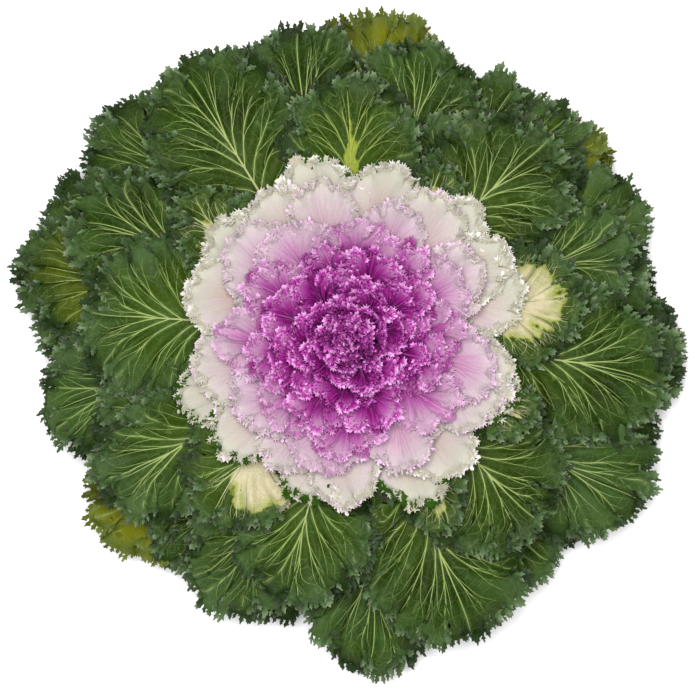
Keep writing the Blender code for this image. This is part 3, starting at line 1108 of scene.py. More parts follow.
def pale_part(graph):
    """How far inside its pale part a point of a variegated leaf lies, from where it is on the leaf."""
    names = ("Along", "Across", "Cream", "Side")

    def fill(graph, given, wanted):
        sided = graph.times(given["Across"], given["Side"], PALE_SIDE)
        graph.feed(wanted["Pale"], graph.plus(graph.less(given["Cream"], given["Along"]), sided))

    group = shader_group("Pale part", [(name, "NodeSocketFloat", 0.0) for name in names], ("Pale",), fill)
    return graph.group(group, {name: name.lower() for name in names})["Pale"]


def object_place(graph):
    return graph.node("ShaderNodeTexCoord").outputs["Object"]


def object_grain(graph, scale):
    return mottled(graph, object_place(graph), scale)["Grain"]


def axis_place(graph):
    """A point's distance from the head's axis and its height."""
    x, y, z = graph.node("ShaderNodeSeparateXYZ", {"Vector": object_place(graph)}).outputs
    return graph.math("SQRT", graph.plus(graph.times(x, x), graph.times(y, y))), z


def new_material(name, roughness, gloss=0.08):
    material = bpy.data.materials.new(name)
    material.use_nodes = True
    tree = material.node_tree
    shader = tree.nodes["Principled BSDF"]
    shader.inputs["Roughness"].default_value = roughness
    shader.inputs["Specular IOR Level"].default_value = gloss
    return material, Graph(tree), shader


def finish_shader(graph, shader, colour, relief, strength, distance):
    """Give a shader its colour and its relief."""
    names = {"Height": relief, "Strength": strength, "Distance": distance}
    graph.feed(shader.inputs["Normal"], graph.node("ShaderNodeBump", names).outputs["Normal"])
    graph.feed(shader.inputs["Base Color"], colour)


def plan_vector(graph):
    return graph.node("ShaderNodeUVMap", uv_map="plan").outputs["UV"]


def green_blade_material(name, under=False):
    """A green blade: mottled, netted with fine veins, greyer at the frill and cream or olive where told,
    with painted shade in the frill's sunk folds and painted highlights on its crests.
    """
    material, graph, shader = new_material(name, 0.62 if under else 0.50)
    colours = bpy.context.scene.leaf_colours
    plan = plan_vector(graph)
    mottle = mottled(graph, plan, 38.0)
    patches, grain = mottle["Patches"], mottle["Grain"]
    warmth = mottled(graph, plan, 17.0)["Patches"]
    torn = mottled(graph, plan, 105.0)["Patches"]
    net = vein_net(graph, plan)
    body = graph.plus(graph.times(patches, 0.65), graph.times("tone", 0.35), clamp=True)
    colour = graph.mix(body, colours.deep, colours.mid)
    colour = graph.toward(colour, colours.warm, warmth, 0.35)
    waxy = graph.times(graph.span("tone", 0.35, 1.0), graph.span(warmth, 0.7, 0.0))
    colour = graph.toward(colour, colours.bloom, waxy, 0.38)
    aged = graph.less(graph.plus("olive", patches), 0.55)
    aged = graph.less(aged, graph.times("edge", graph.span("olive", 1.2, 0.2)), clamp=True)
    colour = graph.toward(colour, colours.olive, aged, graph.span("olive", 0.0, 0.5))
    colour = graph.toward(colour, colours.vein, net, 0.17)
    colour = graph.toward(colour, colours.vein, graph.span("vein_gap", 0.7, 0.1), 0.28)
    # Painted shade: the margin's sunk folds are taken towards deep green
    colour = graph.toward(colour, colours.deep, "edge", graph.span("lift", 0.1, -1.0), 0.7)
    # Real waxy bloom on the margin, made stronger on raised crests as a painted highlight
    bloom_and_crest_highlight = graph.times("edge", graph.span(grain, 0.30, 0.70), graph.span("lift", -0.7, 0.4))
    colour = graph.toward(colour, colours.bloom, bloom_and_crest_highlight, 0.62)
    beside = graph.times(graph.span("vein_gap", 2.2, 0.0), 0.10)
    spread = graph.plus(beside, graph.times(graph.less(torn, 0.5), 0.32))
    pale = graph.plus(pale_part(graph), spread)
    whitened = graph.times(graph.span(pale, -0.02, 0.05), graph.span("cream", 0.0, 0.1))
    flushed = graph.toward(colours.cream, colours.tan, patches, 0.4)
    flushed = graph.mix(graph.span("cream", 0.14, 0.19), colours.lime, flushed)
    palest = graph.mix(graph.span(pale, 0.0, 0.28), colours.lime, flushed)
    colour = graph.mix(whitened, colour, palest)
    if under:
        colour = graph.mix(0.55, colour, colours.back)
    relief = graph.plus(graph.times(net, -0.6), grain)
    relief = graph.plus(relief, graph.times(graph.span("vein_gap", 0.0, 2.4), 1.2))
    finish_shader(graph, shader, colour, relief, 0.55, 0.0008)
    return material


def green_vein_material():
    """Veins: cream at the foot of the midrib, yellow green where they are fine."""
    material, graph, shader = new_material("green_veins", 0.50)
    colours = bpy.context.scene.leaf_colours
    colour = graph.mix(graph.span("girth", 0.00002, 0.00018), colours.mid, colours.vein)
    colour = graph.mix(graph.span("girth", 0.0005, 0.0022), colour, colours.rib)
    pale = graph.times(graph.span(pale_part(graph), -0.80, 0.06), graph.span("cream", 0.0, 0.1))
    palest = graph.mix(graph.span("cream", 0.14, 0.19), colours.lime, colours.cream)
    colour = graph.toward(colour, palest, pale, 0.8)
    finish_shader(graph, shader, colour, object_grain(graph, 90.0), 0.2, 0.0003)
    return material


def green_frill_material():
    """Frill lobes of the green leaves: waxy grey green, darker at the foot and dusky at some tips, with
    painted shade on sunk lobes and a painted highlight on the tips of raised ones.
    """
    material, graph, shader = new_material("green_frill", 0.58)
    colours = bpy.context.scene.leaf_colours
    colour = graph.mix(graph.span("tip", -0.2, 0.7), colours.mid, colours.bloom)
    # Some lobes are darker at random, and sunk lobes get painted shade in deep green
    shaded = graph.plus(graph.span("lobe_tone", 0.5, 1.0), graph.span("lift", 0.2, -1.0), clamp=True)
    colour = graph.toward(colour, colours.deep, shaded, 0.7)
    # Painted highlight: the tips of raised lobes, and of some at random, are taken towards the tooth colour
    lit = graph.times(graph.span("tip", 0.3, 1.0), graph.span("lobe_tone", 0.7, 0.1))
    colour = graph.toward(colour, colours.tip, lit, graph.span("lift", -0.6, 0.4), 0.85)
    dusky = graph.times(graph.span("tip", 0.45, 1.0), graph.span("lobe_tone", 0.45, 0.75))
    colour = graph.toward(colour, colours.dusk, dusky, 0.55)
    colour = graph.toward(colour, colours.olive, graph.span("olive", 0.3, 0.9), 0.52)
    colour = graph.mix(graph.span("cream", 1.0, 1.15), colour, colours.cream)
    finish_shader(graph, shader, colour, object_grain(graph, 120.0), 0.25, 0.0003)
    return material


def heart_ramp(graph, depth):
    """The heart's colour from the margins of its outer leaves, 0, to its core, 1."""
    colours = bpy.context.scene.heart_colours
    stops = [
        (0.00, colours.cream), (0.16, colours.cream), (0.30, colours.blush), (0.44, colours.orchid),
        (0.55, colours.magenta), (0.68, colours.purple), (0.95, colours.core),
    ]
    return graph.ramp(graph.times(depth, 0.66), stops)


def lace_ramp(graph):
    """The colour of frill tips: cream on the outer leaves, pale pink further in."""
    heart = bpy.context.scene.heart_colours
    stops = [(0.0, heart.white), (0.11, heart.white), (0.26, heart.lace), (0.58, heart.bud_lace)]
    return graph.ramp("rank", stops)


def middle_lace_ramp(graph):
    """The colour between a frill's foot and its tip: cream on the outer leaves, clear pink further in."""
    heart = bpy.context.scene.heart_colours
    stops = [
        (0.0, heart.cream), (0.24, heart.cream), (0.38, heart.blush), (0.54, heart.orchid),
        (0.72, heart.mauve),
    ]
    return graph.ramp("rank", stops)


def ring_depth(graph):
    """How deep in the heart a point lies, from its distance to the axis: the rank of the leaves there."""
    radius, _ = axis_place(graph)
    share = graph.span(radius, sizes().heart_reach, sizes().core_reach)
    return graph.less(graph.math("POWER", share, 1 / REACH_POWER), 0.06)


def heart_blade_material(name, under=False):
    """A heart leaf: deeper towards its foot and towards the core, streaked along its pleats, paler on its
    crests and deeper in its sunk folds as painted light and shade.
    """
    material, graph, shader = new_material(name, 0.50, 0.02)
    heart = bpy.context.scene.heart_colours
    pleats = graph.node("ShaderNodeCombineXYZ", {"X": graph.times("across", 14.0), "Y": "along"})
    streak = graph.noise(pleats.outputs[0], 2.4, Detail=4.0, Roughness=0.7).outputs["Fac"]
    mottle = mottled(graph, plan_vector(graph), 70.0)
    foot = graph.less(1.0, "along")
    wander = graph.times(graph.less(streak, 0.5), 0.42)
    depth = graph.plus("rank", graph.times(foot, graph.span("rank", -0.1, 0.7), 0.80))
    depth = graph.plus(depth, wander)
    # Painted light and shade: the blade is paler on its crests and deeper in its sunk folds
    depth = graph.plus(depth, graph.times("lift", "rank", -0.16))
    depth = graph.less(depth, graph.times("edge", 0.06))
    depth = graph.math("MAXIMUM", depth, graph.plus(ring_depth(graph), wander))
    colour = heart_ramp(graph, depth)
    tanned = graph.times(graph.span(foot, 0.15, 0.75), graph.span("rank", 0.45, 0.10))
    colour = graph.toward(colour, heart.tan, tanned, 0.8)
    between = middle_lace_ramp(graph)
    deeper = heart_ramp(graph, graph.plus(depth, 0.22))
    colour = graph.toward(colour, deeper, graph.span(streak, 0.52, 0.42), 0.50)
    colour = graph.toward(colour, between, graph.span(streak, 0.53, 0.62), 0.50)
    colour = graph.toward(colour, between, graph.span("vein_gap", 0.6, 0.1), 0.20)
    rim = graph.span("edge", 0.55, 1.0)
    colour = graph.toward(colour, between, rim, 0.40)
    colour = graph.toward(colour, lace_ramp(graph), rim, 0.10)
    greened = graph.times("olive", graph.span("edge", 0.2, 0.9), graph.span(mottle["Patches"], 0.1, 0.8))
    colour = graph.mix(greened, colour, bpy.context.scene.leaf_colours.mid)
    if under:
        colour = graph.mix(0.25, colour, between)
    relief = graph.plus(streak, graph.times(mottle["Grain"], 0.5))
    finish_shader(graph, shader, colour, relief, 0.55, 0.0009)
    return material


def heart_frill_material():
    """Frill lobes of the heart: the blade's colour at the foot, pale at the tips, deeper on sunk lobes and
    paler on raised ones as painted shade and light.
    """
    material, graph, shader = new_material("heart_lace", 0.50, 0.02)
    tan = bpy.context.scene.heart_colours.tan
    inner = graph.span("rank", 0.30, 0.75)
    # Painted shade: lobes of the inner leaves that sink below the blade are coloured deeper
    sunk = graph.span("lift", 0.3, -1.0)
    deeper = graph.plus(graph.times(inner, 0.34), graph.times(sunk, inner, 0.42))
    colour = heart_ramp(graph, graph.plus("rank", deeper))
    colour = graph.toward(colour, tan, graph.span("rank", 0.4, 0.1), 0.32)
    # Painted highlight: the real pale tips are paler still on raised lobes, and only a quarter as pale on
    # sunk ones
    crest = graph.plus(graph.times(graph.span("lift", -0.9, 0.5), 0.75), 0.25)
    pale = graph.times(graph.span("tip", 0.15, 0.75), graph.span("lobe_tone", 1.2, 0.5), crest)
    colour = graph.mix(graph.span(pale, 0.0, 0.45), colour, middle_lace_ramp(graph))
    colour = graph.mix(graph.span(pale, 0.35, 0.95), colour, lace_ramp(graph))
    greened = graph.math("GREATER_THAN", "olive", "lobe_tone")
    colour = graph.mix(greened, colour, bpy.context.scene.leaf_colours.mid)
    finish_shader(graph, shader, colour, object_grain(graph, 150.0), 0.2, 0.0003)
    return material


def heart_vein_material():
    """Veins of the heart: hardly paler than the blade."""
    material, graph, shader = new_material("heart_veins", 0.50, 0.02)
    colour = heart_ramp(graph, graph.math("MAXIMUM", "rank", ring_depth(graph)))
    colour = graph.mix(0.20, colour, middle_lace_ramp(graph))
    finish_shader(graph, shader, colour, object_grain(graph, 90.0), 0.2, 0.0003)
    return material


# The stalk's cut face: its radius, the height up to which it shows, and its rings from the pith outwards
CUT_RADIUS = 0.0150
CUT_HEIGHT = 0.0012
CUT_RINGS = [
    (0.0, shade(238, 236, 214)), (0.55, shade(226, 226, 190)), (0.72, shade(176, 196, 128)),
    (0.80, shade(222, 224, 180)), (1.0, shade(140, 160, 90)),
]


def stalk_material():
    """Stalk: pale green rind with corky scars, and a ringed, pithy cut face."""
    material, graph, shader = new_material("stalk_rind", 0.62)
    colours = bpy.context.scene.leaf_colours
    mottle = mottled(graph, object_place(graph), 55.0)
    radius, height = axis_place(graph)
    colour = graph.mix(mottle["Patches"], colours.back, colours.rib)
    rings = graph.ramp(graph.span(radius, 0.0, CUT_RADIUS), CUT_RINGS)
    colour = graph.mix(graph.span(height, CUT_HEIGHT, 0.0), colour, rings)
    finish_shader(graph, shader, colour, mottle["Grain"], 0.5, 0.0008)
    return material


MATERIALS = {
    "green_top": lambda: green_blade_material("green_blade"),
    "green_back": lambda: green_blade_material("green_blade_back", under=True),
    "green_vein": green_vein_material,
    "green_frill": green_frill_material,
    "heart_top": lambda: heart_blade_material("heart_blade"),
    "heart_back": lambda: heart_blade_material("heart_blade_back", under=True),
    "heart_vein": heart_vein_material,
    "heart_frill": heart_frill_material,
    "stalk": stalk_material,
}
made_materials = {}


def material(name):
    if name not in made_materials:
        made_materials[name] = MATERIALS[name]()
    return made_materials[name]


def geometry_tree(name, inputs, fill):
    """A geometry tree with a mesh and named values in, and out a plain mesh of one material."""
    tree = bpy.data.node_groups.new(name, "GeometryNodeTree")
    tree.interface.new_socket("Geometry", in_out="OUTPUT", socket_type="NodeSocketGeometry")
    for label, kind, default in [("Geometry", "Geometry", None), *inputs, ("Material", "Material", None)]:
        socket = tree.interface.new_socket(label, in_out="INPUT", socket_type=f"NodeSocket{kind}")
        if default is not None:
            socket.default_value = default
    graph = Graph(tree)
    given = graph.node("NodeGroupInput").outputs
    real = graph.node("GeometryNodeRealizeInstances", {"Geometry": fill(graph, given)})
    names = {"Geometry": real.outputs["Geometry"], "Material": given["Material"]}
    done = graph.node("GeometryNodeSetMaterial", names)
    graph.node("NodeGroupOutput", {"Geometry": done.outputs["Geometry"]})
    return tree


def vein_tree():
    """Turns lines into tapering round veins, as thick as their girth says."""

    def fill(graph, given):
        lines = graph.node("GeometryNodeMeshToCurve", {"Mesh": given["Geometry"]})
        ring = graph.node("GeometryNodeCurvePrimitiveCircle", {"Resolution": given["Sides"], "Radius": 1.0})
        girth = graph.node("GeometryNodeInputNamedAttribute", {"Name": "girth"}, data_type="FLOAT")
        tubes = graph.node("GeometryNodeCurveToMesh", {
            "Curve": lines.outputs["Curve"], "Profile Curve": ring.outputs["Curve"],
            "Scale": girth.outputs["Attribute"], "Fill Caps": True,
        })
        smoothed = graph.node("GeometryNodeSetShadeSmooth", {"Geometry": tubes.outputs["Mesh"]})
        return smoothed.outputs["Geometry"]

    return geometry_tree("Vein network", [("Sides", "Int", 5)], fill)


# The shortest and longest frill lobe, as shares of the given length
SHORTEST_LOBE, LONGEST_LOBE = 0.65, 1.30


def frill_tree():
    """Sets frill lobes side by side along the margins, each turned outwards and tipped its own way."""

    def fill(graph, given):
        def enabled(made):
            return next(out for out in made.outputs if out.enabled)

        def drawn(offset, kind, low, high):
            number = {"INT": "002", "FLOAT": "001"}[kind]
            seed = graph.plus(given["Seed"], float(offset))
            values = {f"Min_{number}": low, f"Max_{number}": high, "Seed": seed}
            made = graph.node("FunctionNodeRandomValue", data_type=kind)
            for socket in made.inputs:
                if socket.identifier in values:
                    graph.feed(socket, values[socket.identifier])
            return enabled(made)

        def named(name, kind):
            return enabled(graph.node("GeometryNodeInputNamedAttribute", {"Name": name}, data_type=kind))

        lines = graph.node("GeometryNodeMeshToCurve", {"Mesh": given["Geometry"]})
        names = {"Curve": lines.outputs["Curve"], "Length": given["Spacing"]}
        spaced = graph.node("GeometryNodeResampleCurve", names, mode="LENGTH")
        names = {
            "Primary Axis": named("outward", "FLOAT_VECTOR"),
            "Secondary Axis": named("facing", "FLOAT_VECTOR"),
        }
        aimed = graph.node("FunctionNodeAxesToRotation", names, primary_axis="X", secondary_axis="Z")
        lowest, highest, back = (
            graph.times(given[name], -1.0) for name in ("Tilt Low", "Tilt High", "Swing")
        )
        tip = graph.node("ShaderNodeCombineXYZ", {
            "X": drawn(1, "FLOAT", back, given["Swing"]),
            "Y": drawn(2, "FLOAT", highest, lowest),
            "Z": drawn(3, "FLOAT", back, given["Swing"]),
        })
        tipped = graph.node("FunctionNodeEulerToRotation", {"Euler": tip.outputs[0]})
        names = {"Rotation": aimed.outputs[0], "Rotate By": tipped.outputs[0]}
        turn = graph.node("FunctionNodeRotateRotation", names, rotation_space="LOCAL")
        lengths = drawn(4, "FLOAT", SHORTEST_LOBE, LONGEST_LOBE)
        names = {"Collection": given["Lobes"], "Separate Children": True, "Reset Children": True}
        lobes = graph.node("GeometryNodeCollectionInfo", names)
        placed = graph.node("GeometryNodeInstanceOnPoints", {
            "Points": spaced.outputs["Curve"], "Instance": lobes.outputs["Instances"],
            "Pick Instance": True, "Instance Index": drawn(5, "INT", 0, graph.less(given["Kinds"], 1.0)),
            "Rotation": turn.outputs[0],
            "Scale": graph.times(given["Length"], lengths, named("size", "FLOAT")),
        })
        toned = graph.node("GeometryNodeStoreNamedAttribute", {
            "Geometry": placed.outputs["Instances"], "Name": "lobe_tone",
            "Value": drawn(6, "FLOAT", 0.0, 1.0),
        }, data_type="FLOAT", domain="INSTANCE")
        return toned.outputs["Geometry"]

    inputs = [
        ("Lobes", "Collection", None), ("Kinds", "Int", 3), ("Spacing", "Float", 0.002),
        ("Length", "Float", 0.003), ("Tilt Low", "Float", -0.5), ("Tilt High", "Float", 1.1),
        ("Swing", "Float", 0.5), ("Seed", "Int", 1),
    ]
    return geometry_tree("Margin frill", inputs, fill)


made_trees = {}


def tree(name):
    if name not in made_trees:
        made_trees[name] = {"veins": vein_tree, "frill": frill_tree}[name]()
    return made_trees[name]


def grown(name, lines, group, inputs):
    """The plain mesh that a node tree makes of some lines."""
    holder = bpy.data.objects.new(name, lines)
    bpy.context.scene.collection.objects.link(holder)
    modifier = holder.modifiers.new("grow", "NODES")
    modifier.node_group = group
    sockets = {item.name: item.identifier for item in group.interface.items_tree if item.in_out == "INPUT"}
    for label, value in inputs.items():
        modifier[sockets[label]] = value
    graph = bpy.context.evaluated_depsgraph_get()
    mesh = bpy.data.meshes.new_from_object(holder.evaluated_get(graph))
    bpy.data.objects.remove(holder)
    bpy.data.meshes.remove(lines)
    return mesh


def joined(name, meshes):
    """One object at the origin from several meshes."""
    parts = []
    for mesh in meshes:
        obj = bpy.data.objects.new(name, mesh)
        bpy.context.scene.collection.objects.link(obj)
        parts.append(obj)
    whole = parts[0]
    with bpy.context.temp_override(active_object=whole, object=whole, selected_editable_objects=parts):
        bpy.ops.object.join()
    whole.name = name
    return whole


# Frill lobes seen from above, in shares of their length: half outlines from foot to tip
LOBE_OUTLINES = {
    "green": {
        "pointed": [(-0.25, 0.20), (0.34, 0.24), (0.60, 0.38), (0.76, 0.18), (1.12, 0.06)],
        "starry": [
            (-0.25, 0.22), (0.10, 0.26), (0.32, 0.46), (0.48, 0.24), (0.82, 0.34), (0.80, 0.14),
            (1.06, 0.07),
        ],
        "fingered": [(-0.25, 0.20), (0.24, 0.18), (0.62, 0.44), (0.60, 0.18), (1.05, 0.11)],
        "fanned": [(-0.20, 0.24), (0.22, 0.36), (0.56, 0.54), (0.66, 0.30), (1.00, 0.28), (0.88, 0.06)],
    },
    "heart": {
        "trefoil": [
            (-0.25, 0.16), (0.22, 0.17), (0.40, 0.62), (0.60, 0.60), (0.50, 0.18), (0.94, 0.22),
            (1.14, 0.02),
        ],
        "starry": [
            (-0.25, 0.20), (0.14, 0.20), (0.40, 0.68), (0.46, 0.20), (0.94, 0.44), (0.70, 0.10),
            (1.14, 0.02),
        ],
        "fanned": [(-0.20, 0.24), (0.26, 0.38), (0.60, 0.70), (0.62, 0.34), (1.00, 0.36), (0.84, 0.08)],
    },
}
LOBE_THICKNESS = 0.05
LOBE_MIDDLE = 0.45
LOBE_CUP = 0.22
LOBE_SAG = 0.25
# The second half of a lobe's outline beside its first: its length, how far on it starts, and its width
HALF_LENGTH, HALF_START, HALF_WIDTH = 0.94, 0.01, 0.88
# A frill's lobes tip down and up and turn aside by up to these angles in radians
FRILL_TURNS = {"green": (-0.4, 0.8, 0.5), "heart": (-0.2, 0.5, 0.35)}
VEIN_SIDES = {"green": 4, "heart": 3}
# How much longer the lace of the outermost heart leaves is, and the ranks between which that fades in
OUTER_LACE_GAIN = 0.15
OUTER_LACE_RANKS = (0.35, 0.12)
# How long lobes are at a margin's two ends, and the share of that length in each further row
END_LOBE = 0.55
ROW_SHARE = 0.8


def frill_lobes(name, outlines):
    """Small lobed plates that a frill is made of, cupped and thin, one of each outline."""
    collection = bpy.data.collections.new(name)
    bpy.context.scene.collection.children.link(collection)
    for kind, half in outlines.items():
        outline = half + [(x * HALF_LENGTH + HALF_START, -y * HALF_WIDTH) for x, y in reversed(half)]
        mesh = bpy.data.meshes.new(f"{name}_{kind}")
        shape = bmesh.new()
        corners = [shape.verts.new((x, y, 0.0)) for x, y in outline]
        top, low = (shape.verts.new((LOBE_MIDDLE, 0.0, z)) for z in (LOBE_THICKNESS, -LOBE_THICKNESS))
        for here, onward in zip(corners, corners[1:] + corners[:1]):
            shape.faces.new((here, onward, top))
            shape.faces.new((onward, here, low))
        for corner in shape.verts:
            corner.co.z += LOBE_CUP * corner.co.x**2 - LOBE_SAG * abs(corner.co.y)
        bmesh.ops.recalc_face_normals(shape, faces=list(shape.faces))
        layer = shape.verts.layers.float.new("tip")
        for corner in shape.verts:
            corner[layer] = min(1.0, max(0.0, corner.co.x))
        shape.to_mesh(mesh)
        shape.free()
        collection.objects.link(bpy.data.objects.new(f"{name}_{kind}", mesh))
    return collection


def drop_lobes(collection):
    for obj in list(collection.objects):
        bpy.data.objects.remove(obj)
    bpy.data.collections.remove(collection)


def leafy_piece(name, node, slot, leaves, kind, seed):
    """Blades, veins and frills of some leaves as one piece in the place of a solid."""
    size = sizes()
    fine = kind == "heart"
    mesher = Mesher()
    margins = []
    frill_names = ("outward", "facing", "size", "lift", "rank", "olive", "cream")
    frill_values = {value: [] for value in frill_names}
    veins = []
    vein_values = {value: [] for value in ("girth", "rank", "cream", "side", "across", "along")}
    for leaf in leaves:
        gain = 1.0 + OUTER_LACE_GAIN * smooth(*OUTER_LACE_RANKS, leaf.rank) if fine else 1.0
        for number, (line, outward, facing, lift) in enumerate(add_sheet(mesher, leaf)):
            margins.append(line)
            across = np.linspace(-1, 1, len(line))
            lengths = END_LOBE + (1 - END_LOBE) * smooth(1.0, 0.75, np.abs(across))
            lengths = gain * lengths * ROW_SHARE**number
            rank, olive = (np.full(len(line), value) for value in (leaf.rank, leaf.olive))
            cream = leaf.cream + PALE_SIDE * across * leaf.side
            for value, held in zip(frill_names, (outward, facing, lengths, lift, rank, olive, cream)):
                frill_values[value].append(held)
        lines, girths, places = vein_lines(leaf)
        veins += lines
        vein_values["girth"] += girths
        for value in ("rank", "cream", "side"):
            vein_values[value] += [np.full(len(points), getattr(leaf, value)) for points in lines]
        vein_values["across"] += [place[0] for place in places]
        vein_values["along"] += [place[1] for place in places]
    if node == "magenta_heart":
        add_hub(mesher)
    blades = mesher.mesh(name, [material(f"{kind}_top"), material(f"{kind}_back")])
    skeleton = line_mesh(f"{name}_skeleton", veins, vein_values)
    inputs = {"Sides": VEIN_SIDES[kind], "Material": material(f"{kind}_vein")}
    tubes = grown(f"{name}_veins", skeleton, tree("veins"), inputs)
    margin = line_mesh(f"{name}_margin", margins, frill_values)
    outlines = LOBE_OUTLINES[kind]
    lobes = frill_lobes(f"{name}_lobes", outlines)
    down, up, aside = FRILL_TURNS[kind]
    inputs = {
        "Lobes": lobes, "Kinds": len(outlines), "Seed": seed, "Material": material(f"{kind}_frill"),
        "Spacing": size.lace_spacing if fine else size.frill_spacing,
        "Length": size.lace_length if fine else size.frill_length,
        "Tilt Low": down, "Tilt High": up, "Swing": aside,
    }
    frills = grown(f"{name}_frill", margin, tree("frill"), inputs)
    drop_lobes(lobes)
    piece = joined(name, [blades, tubes, frills])
    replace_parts(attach(piece, "root"), node)
    return piece


held_leaves = {}


def leaves_of(node):
    if not held_leaves:
        held_leaves.update(all_leaves())
    return held_leaves[node]


def slot_of(node):
    for part in frame["record"]["subparts"]:
        if part["node"] == node:
            return part["material_slot"]
    raise RuntimeError(f"the record has no slot for {node}")


def green_nodes(prefix):
    nodes = [node for node in sorted(frame["nodes"]) if node.startswith(prefix)]
    if not nodes:
        raise RuntimeError(f"the frame has no node named {prefix}")
    return nodes


def green_pieces(prefix):
    for number, node in enumerate(green_nodes(prefix)):
        seed = GREEN_FRILL_SEED + number * SEED_STEP
        leafy_piece(f"{node}_frilled", node, slot_of(node), leaves_of(node), "green", seed)


class CABBAGE_OT_stalk(bpy.types.Operator):
    """Give the stalk its rind and its cut face"""

    bl_idname = "cabbage.stalk"
    bl_label = "Stalk"

    def execute(self, context):
        stalk = frame["nodes"]["stalk"]
        stalk.data.materials.clear()
        stalk.data.materials.append(material("stalk"))
        return {"FINISHED"}


# The inner leaf whose foot is lime green, and how far out that reaches
LIME_NODE, LIME_REACH = "inner_green_leaf_02", 0.13


class CABBAGE_OT_inner_leaves(bpy.types.Operator):
    """Make the inner green leaves, the collar's top layer"""

    bl_idname = "cabbage.inner_leaves"
    bl_label = "Inner green leaves"

    def execute(self, context):
        leaves_of(LIME_NODE)[0].cream = LIME_REACH
        green_pieces("inner_green_leaf")
        return {"FINISHED"}


# Variegated leaves in turn: how far out the pale part reaches, and how much further on its left side
PALE_PARTS = [(0.66, 0.1), (0.40, -0.2), (0.34, 0.6), (0.20, 1.8), (0.56, -0.2), (0.56, 0.2)]


class CABBAGE_OT_variegated_leaves(bpy.types.Operator):
    """Make the variegated leaves, cream at the base and green at the frill"""

    bl_idname = "cabbage.variegated_leaves"
    bl_label = "Variegated leaves"

    def execute(self, context):
        for number, (cream, side) in enumerate(PALE_PARTS, 1):
            leaf = leaves_of(f"variegated_leaf_{number:02d}")[0]
            leaf.cream, leaf.side = cream, side
        green_pieces("variegated_leaf")
        return {"FINISHED"}


class CABBAGE_OT_middle_leaves(bpy.types.Operator):
    """Make the middle green leaves"""

    bl_idname = "cabbage.middle_leaves"
    bl_label = "Middle green leaves"

    def execute(self, context):
        green_pieces("middle_green_leaf")
        return {"FINISHED"}


# How olive leaves are: the olive leaves, the outer leaves within so many degrees of a side, and the others
OLIVE, AGED, HARDLY_AGED = 0.85, 0.30, 0.12
AGED_AZIMUTH, AGED_REACH = 165, 15


class CABBAGE_OT_outer_leaves(bpy.types.Operator):
    """Make the outer green leaves"""

    bl_idname = "cabbage.outer_leaves"
    bl_label = "Outer green leaves"

    def execute(self, context):
        for node in green_nodes("outer_green_leaf"):
            leaf = leaves_of(node)[0]
            aged = abs(math.degrees(leaf.azimuth) - AGED_AZIMUTH) < AGED_REACH
            leaf.olive = AGED if aged else HARDLY_AGED
        green_pieces("outer_green_leaf")
        return {"FINISHED"}


class CABBAGE_OT_olive_leaves(bpy.types.Operator):
    """Make the ageing olive leaves"""

    bl_idname = "cabbage.olive_leaves"
    bl_label = "Olive leaves"

    def execute(self, context):
        for node in green_nodes("olive_leaf"):
            leaves_of(node)[0].olive = OLIVE
        green_pieces("olive_leaf")
        return {"FINISHED"}


# How many of the outermost heart leaves may have green in their fringe, and how much by azimuth in degrees
GREENED_LEAVES = 13
GREENED_FRINGES = [(0, 360, 0.0), (60, 140, 0.15), (195, 225, 0.5), (255, 302, 0.7), (310, 350, 0.6)]


class CABBAGE_OT_heart(bpy.types.Operator):
    """Make the heart's leaves, colour by colour"""

    bl_idname = "cabbage.heart"
    bl_label = "Heart"

    def execute(self, context):
        for leaf in leaves_of("cream_leaves")[:GREENED_LEAVES]:
            degrees = math.degrees(leaf.azimuth) % 360
            leaf.olive = max(green for low, high, green in GREENED_FRINGES if low <= degrees < high)
        for number, (node, (_, _, pieces)) in enumerate(HEART_COLOURS.items()):
            for part in range(pieces):
                leaves = leaves_of(node)[part::pieces]
                seed = HEART_FRILL_SEED + number * COLOUR_SEED_STEP + part * SEED_STEP
                leafy_piece(f"{node}_frilled_{part + 1}", node, slot_of(node), leaves, "heart", seed)
        return {"FINISHED"}


FLOOR_HALF_WIDTH = 6.0
WORLD_STRENGTH = 0.34
# Each light's name, place, width and power in watts
LIGHTS = (
    ("overhead_softbox", (-0.13, 0.16, 2.35), 0.9, 86.0),
    ("fill_softbox", (0.9, -0.7, 2.0), 1.6, 8.0),
)
# Where the camera stands over the floor
CAMERA_PLACE = (-0.0010, -0.0057)


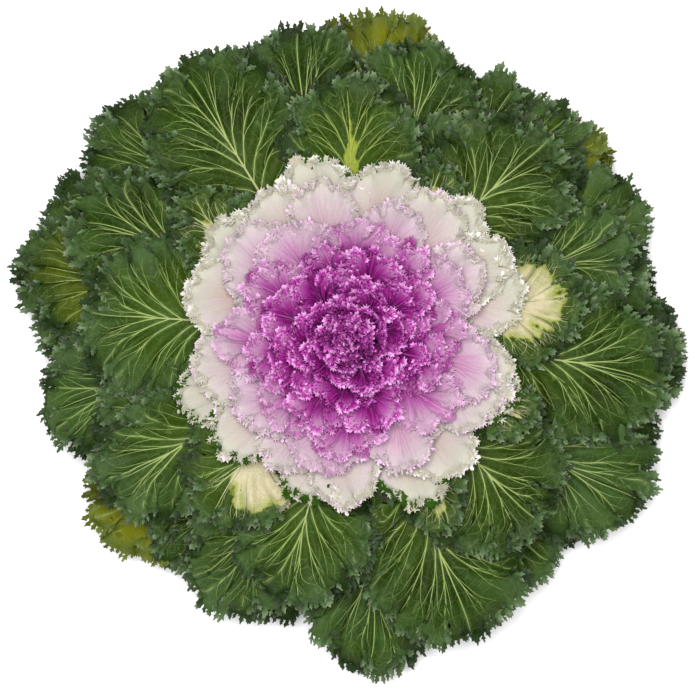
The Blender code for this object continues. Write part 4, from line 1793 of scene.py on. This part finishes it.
class CABBAGE_OT_stage(bpy.types.Operator):
    """Set up the floor, the soft light and the camera that looks straight down"""

    bl_idname = "cabbage.stage"
    bl_label = "Stage"

    def execute(self, context):
        scene = context.scene
        studio = scene.studio_settings
        mesh = bpy.data.meshes.new("floor")
        half = FLOOR_HALF_WIDTH
        corners = [(-half, -half, 0), (half, -half, 0), (half, half, 0), (-half, half, 0)]
        mesh.from_pydata(corners, [], [(0, 1, 2, 3)])
        floor = bpy.data.objects.new("floor", mesh)
        scene.collection.objects.link(floor)
        surface, _, shader = new_material("floor", 0.9)
        shader.inputs["Base Color"].default_value = (*studio.floor, 1.0)
        shader.inputs["Specular IOR Level"].default_value = 0.0
        mesh.materials.append(surface)

        world = bpy.data.worlds.new("studio")
        world.use_nodes = True
        background = world.node_tree.nodes["Background"].inputs
        background["Color"].default_value = (1.0, 1.0, 1.0, 1.0)
        background["Strength"].default_value = WORLD_STRENGTH
        scene.world = world
        for name, place, width, power in LIGHTS:
            light = bpy.data.lights.new(name, "AREA")
            light.shape = "SQUARE"
            light.size = width
            light.energy = power
            lamp = bpy.data.objects.new(name, light)
            lamp.location = place
            lamp.rotation_euler = (-lamp.location).to_track_quat("-Z", "Y").to_euler()
            scene.collection.objects.link(lamp)

        camera = bpy.data.cameras.new("camera")
        camera.lens = camera.sensor_width * (studio.height - studio.sharp_height) / studio.frame_width
        camera.clip_end = 20.0
        eye = bpy.data.objects.new("camera", camera)
        eye.location = (*CAMERA_PLACE, studio.height)
        scene.collection.objects.link(eye)
        scene.camera = eye
        scene.view_settings.view_transform = "Standard"
        return {"FINISHED"}


class CABBAGE_PT_panel(bpy.types.Panel):
    """Lists the steps and the sizes and colours that they use"""

    bl_idname = "CABBAGE_PT_panel"
    bl_label = "Ornamental cabbage"
    bl_space_type = "VIEW_3D"
    bl_region_type = "UI"
    bl_category = "Cabbage"

    def draw(self, context):
        for step in STEPS:
            self.layout.operator(step.bl_idname)
        for group in SETTINGS:
            box = self.layout.box()
            held = getattr(context.scene, group)
            for name in held.__annotations__:
                box.prop(held, name)


SETTINGS = {
    "cabbage_sizes": CabbageSizes,
    "leaf_colours": LeafColours,
    "heart_colours": HeartColours,
    "studio_settings": StudioSettings,
}
STEPS = (
    CABBAGE_OT_stage,
    CABBAGE_OT_stalk,
    CABBAGE_OT_heart,
    CABBAGE_OT_variegated_leaves,
    CABBAGE_OT_inner_leaves,
    CABBAGE_OT_middle_leaves,
    CABBAGE_OT_outer_leaves,
    CABBAGE_OT_olive_leaves,
)


def register():
    for group in SETTINGS.values():
        bpy.utils.register_class(group)
    for name, group in SETTINGS.items():
        setattr(bpy.types.Scene, name, PointerProperty(type=group))
    for step in STEPS:
        bpy.utils.register_class(step)
    bpy.utils.register_class(CABBAGE_PT_panel)


def unregister():
    bpy.utils.unregister_class(CABBAGE_PT_panel)
    for step in reversed(STEPS):
        bpy.utils.unregister_class(step)
    for name, group in reversed(SETTINGS.items()):
        delattr(bpy.types.Scene, name)
        bpy.utils.unregister_class(group)


def main():
    register()
    for step in STEPS:
        category, name = step.bl_idname.split(".")
        getattr(getattr(bpy.ops, category), name)()
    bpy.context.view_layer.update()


if __name__ == "__main__":
    main()
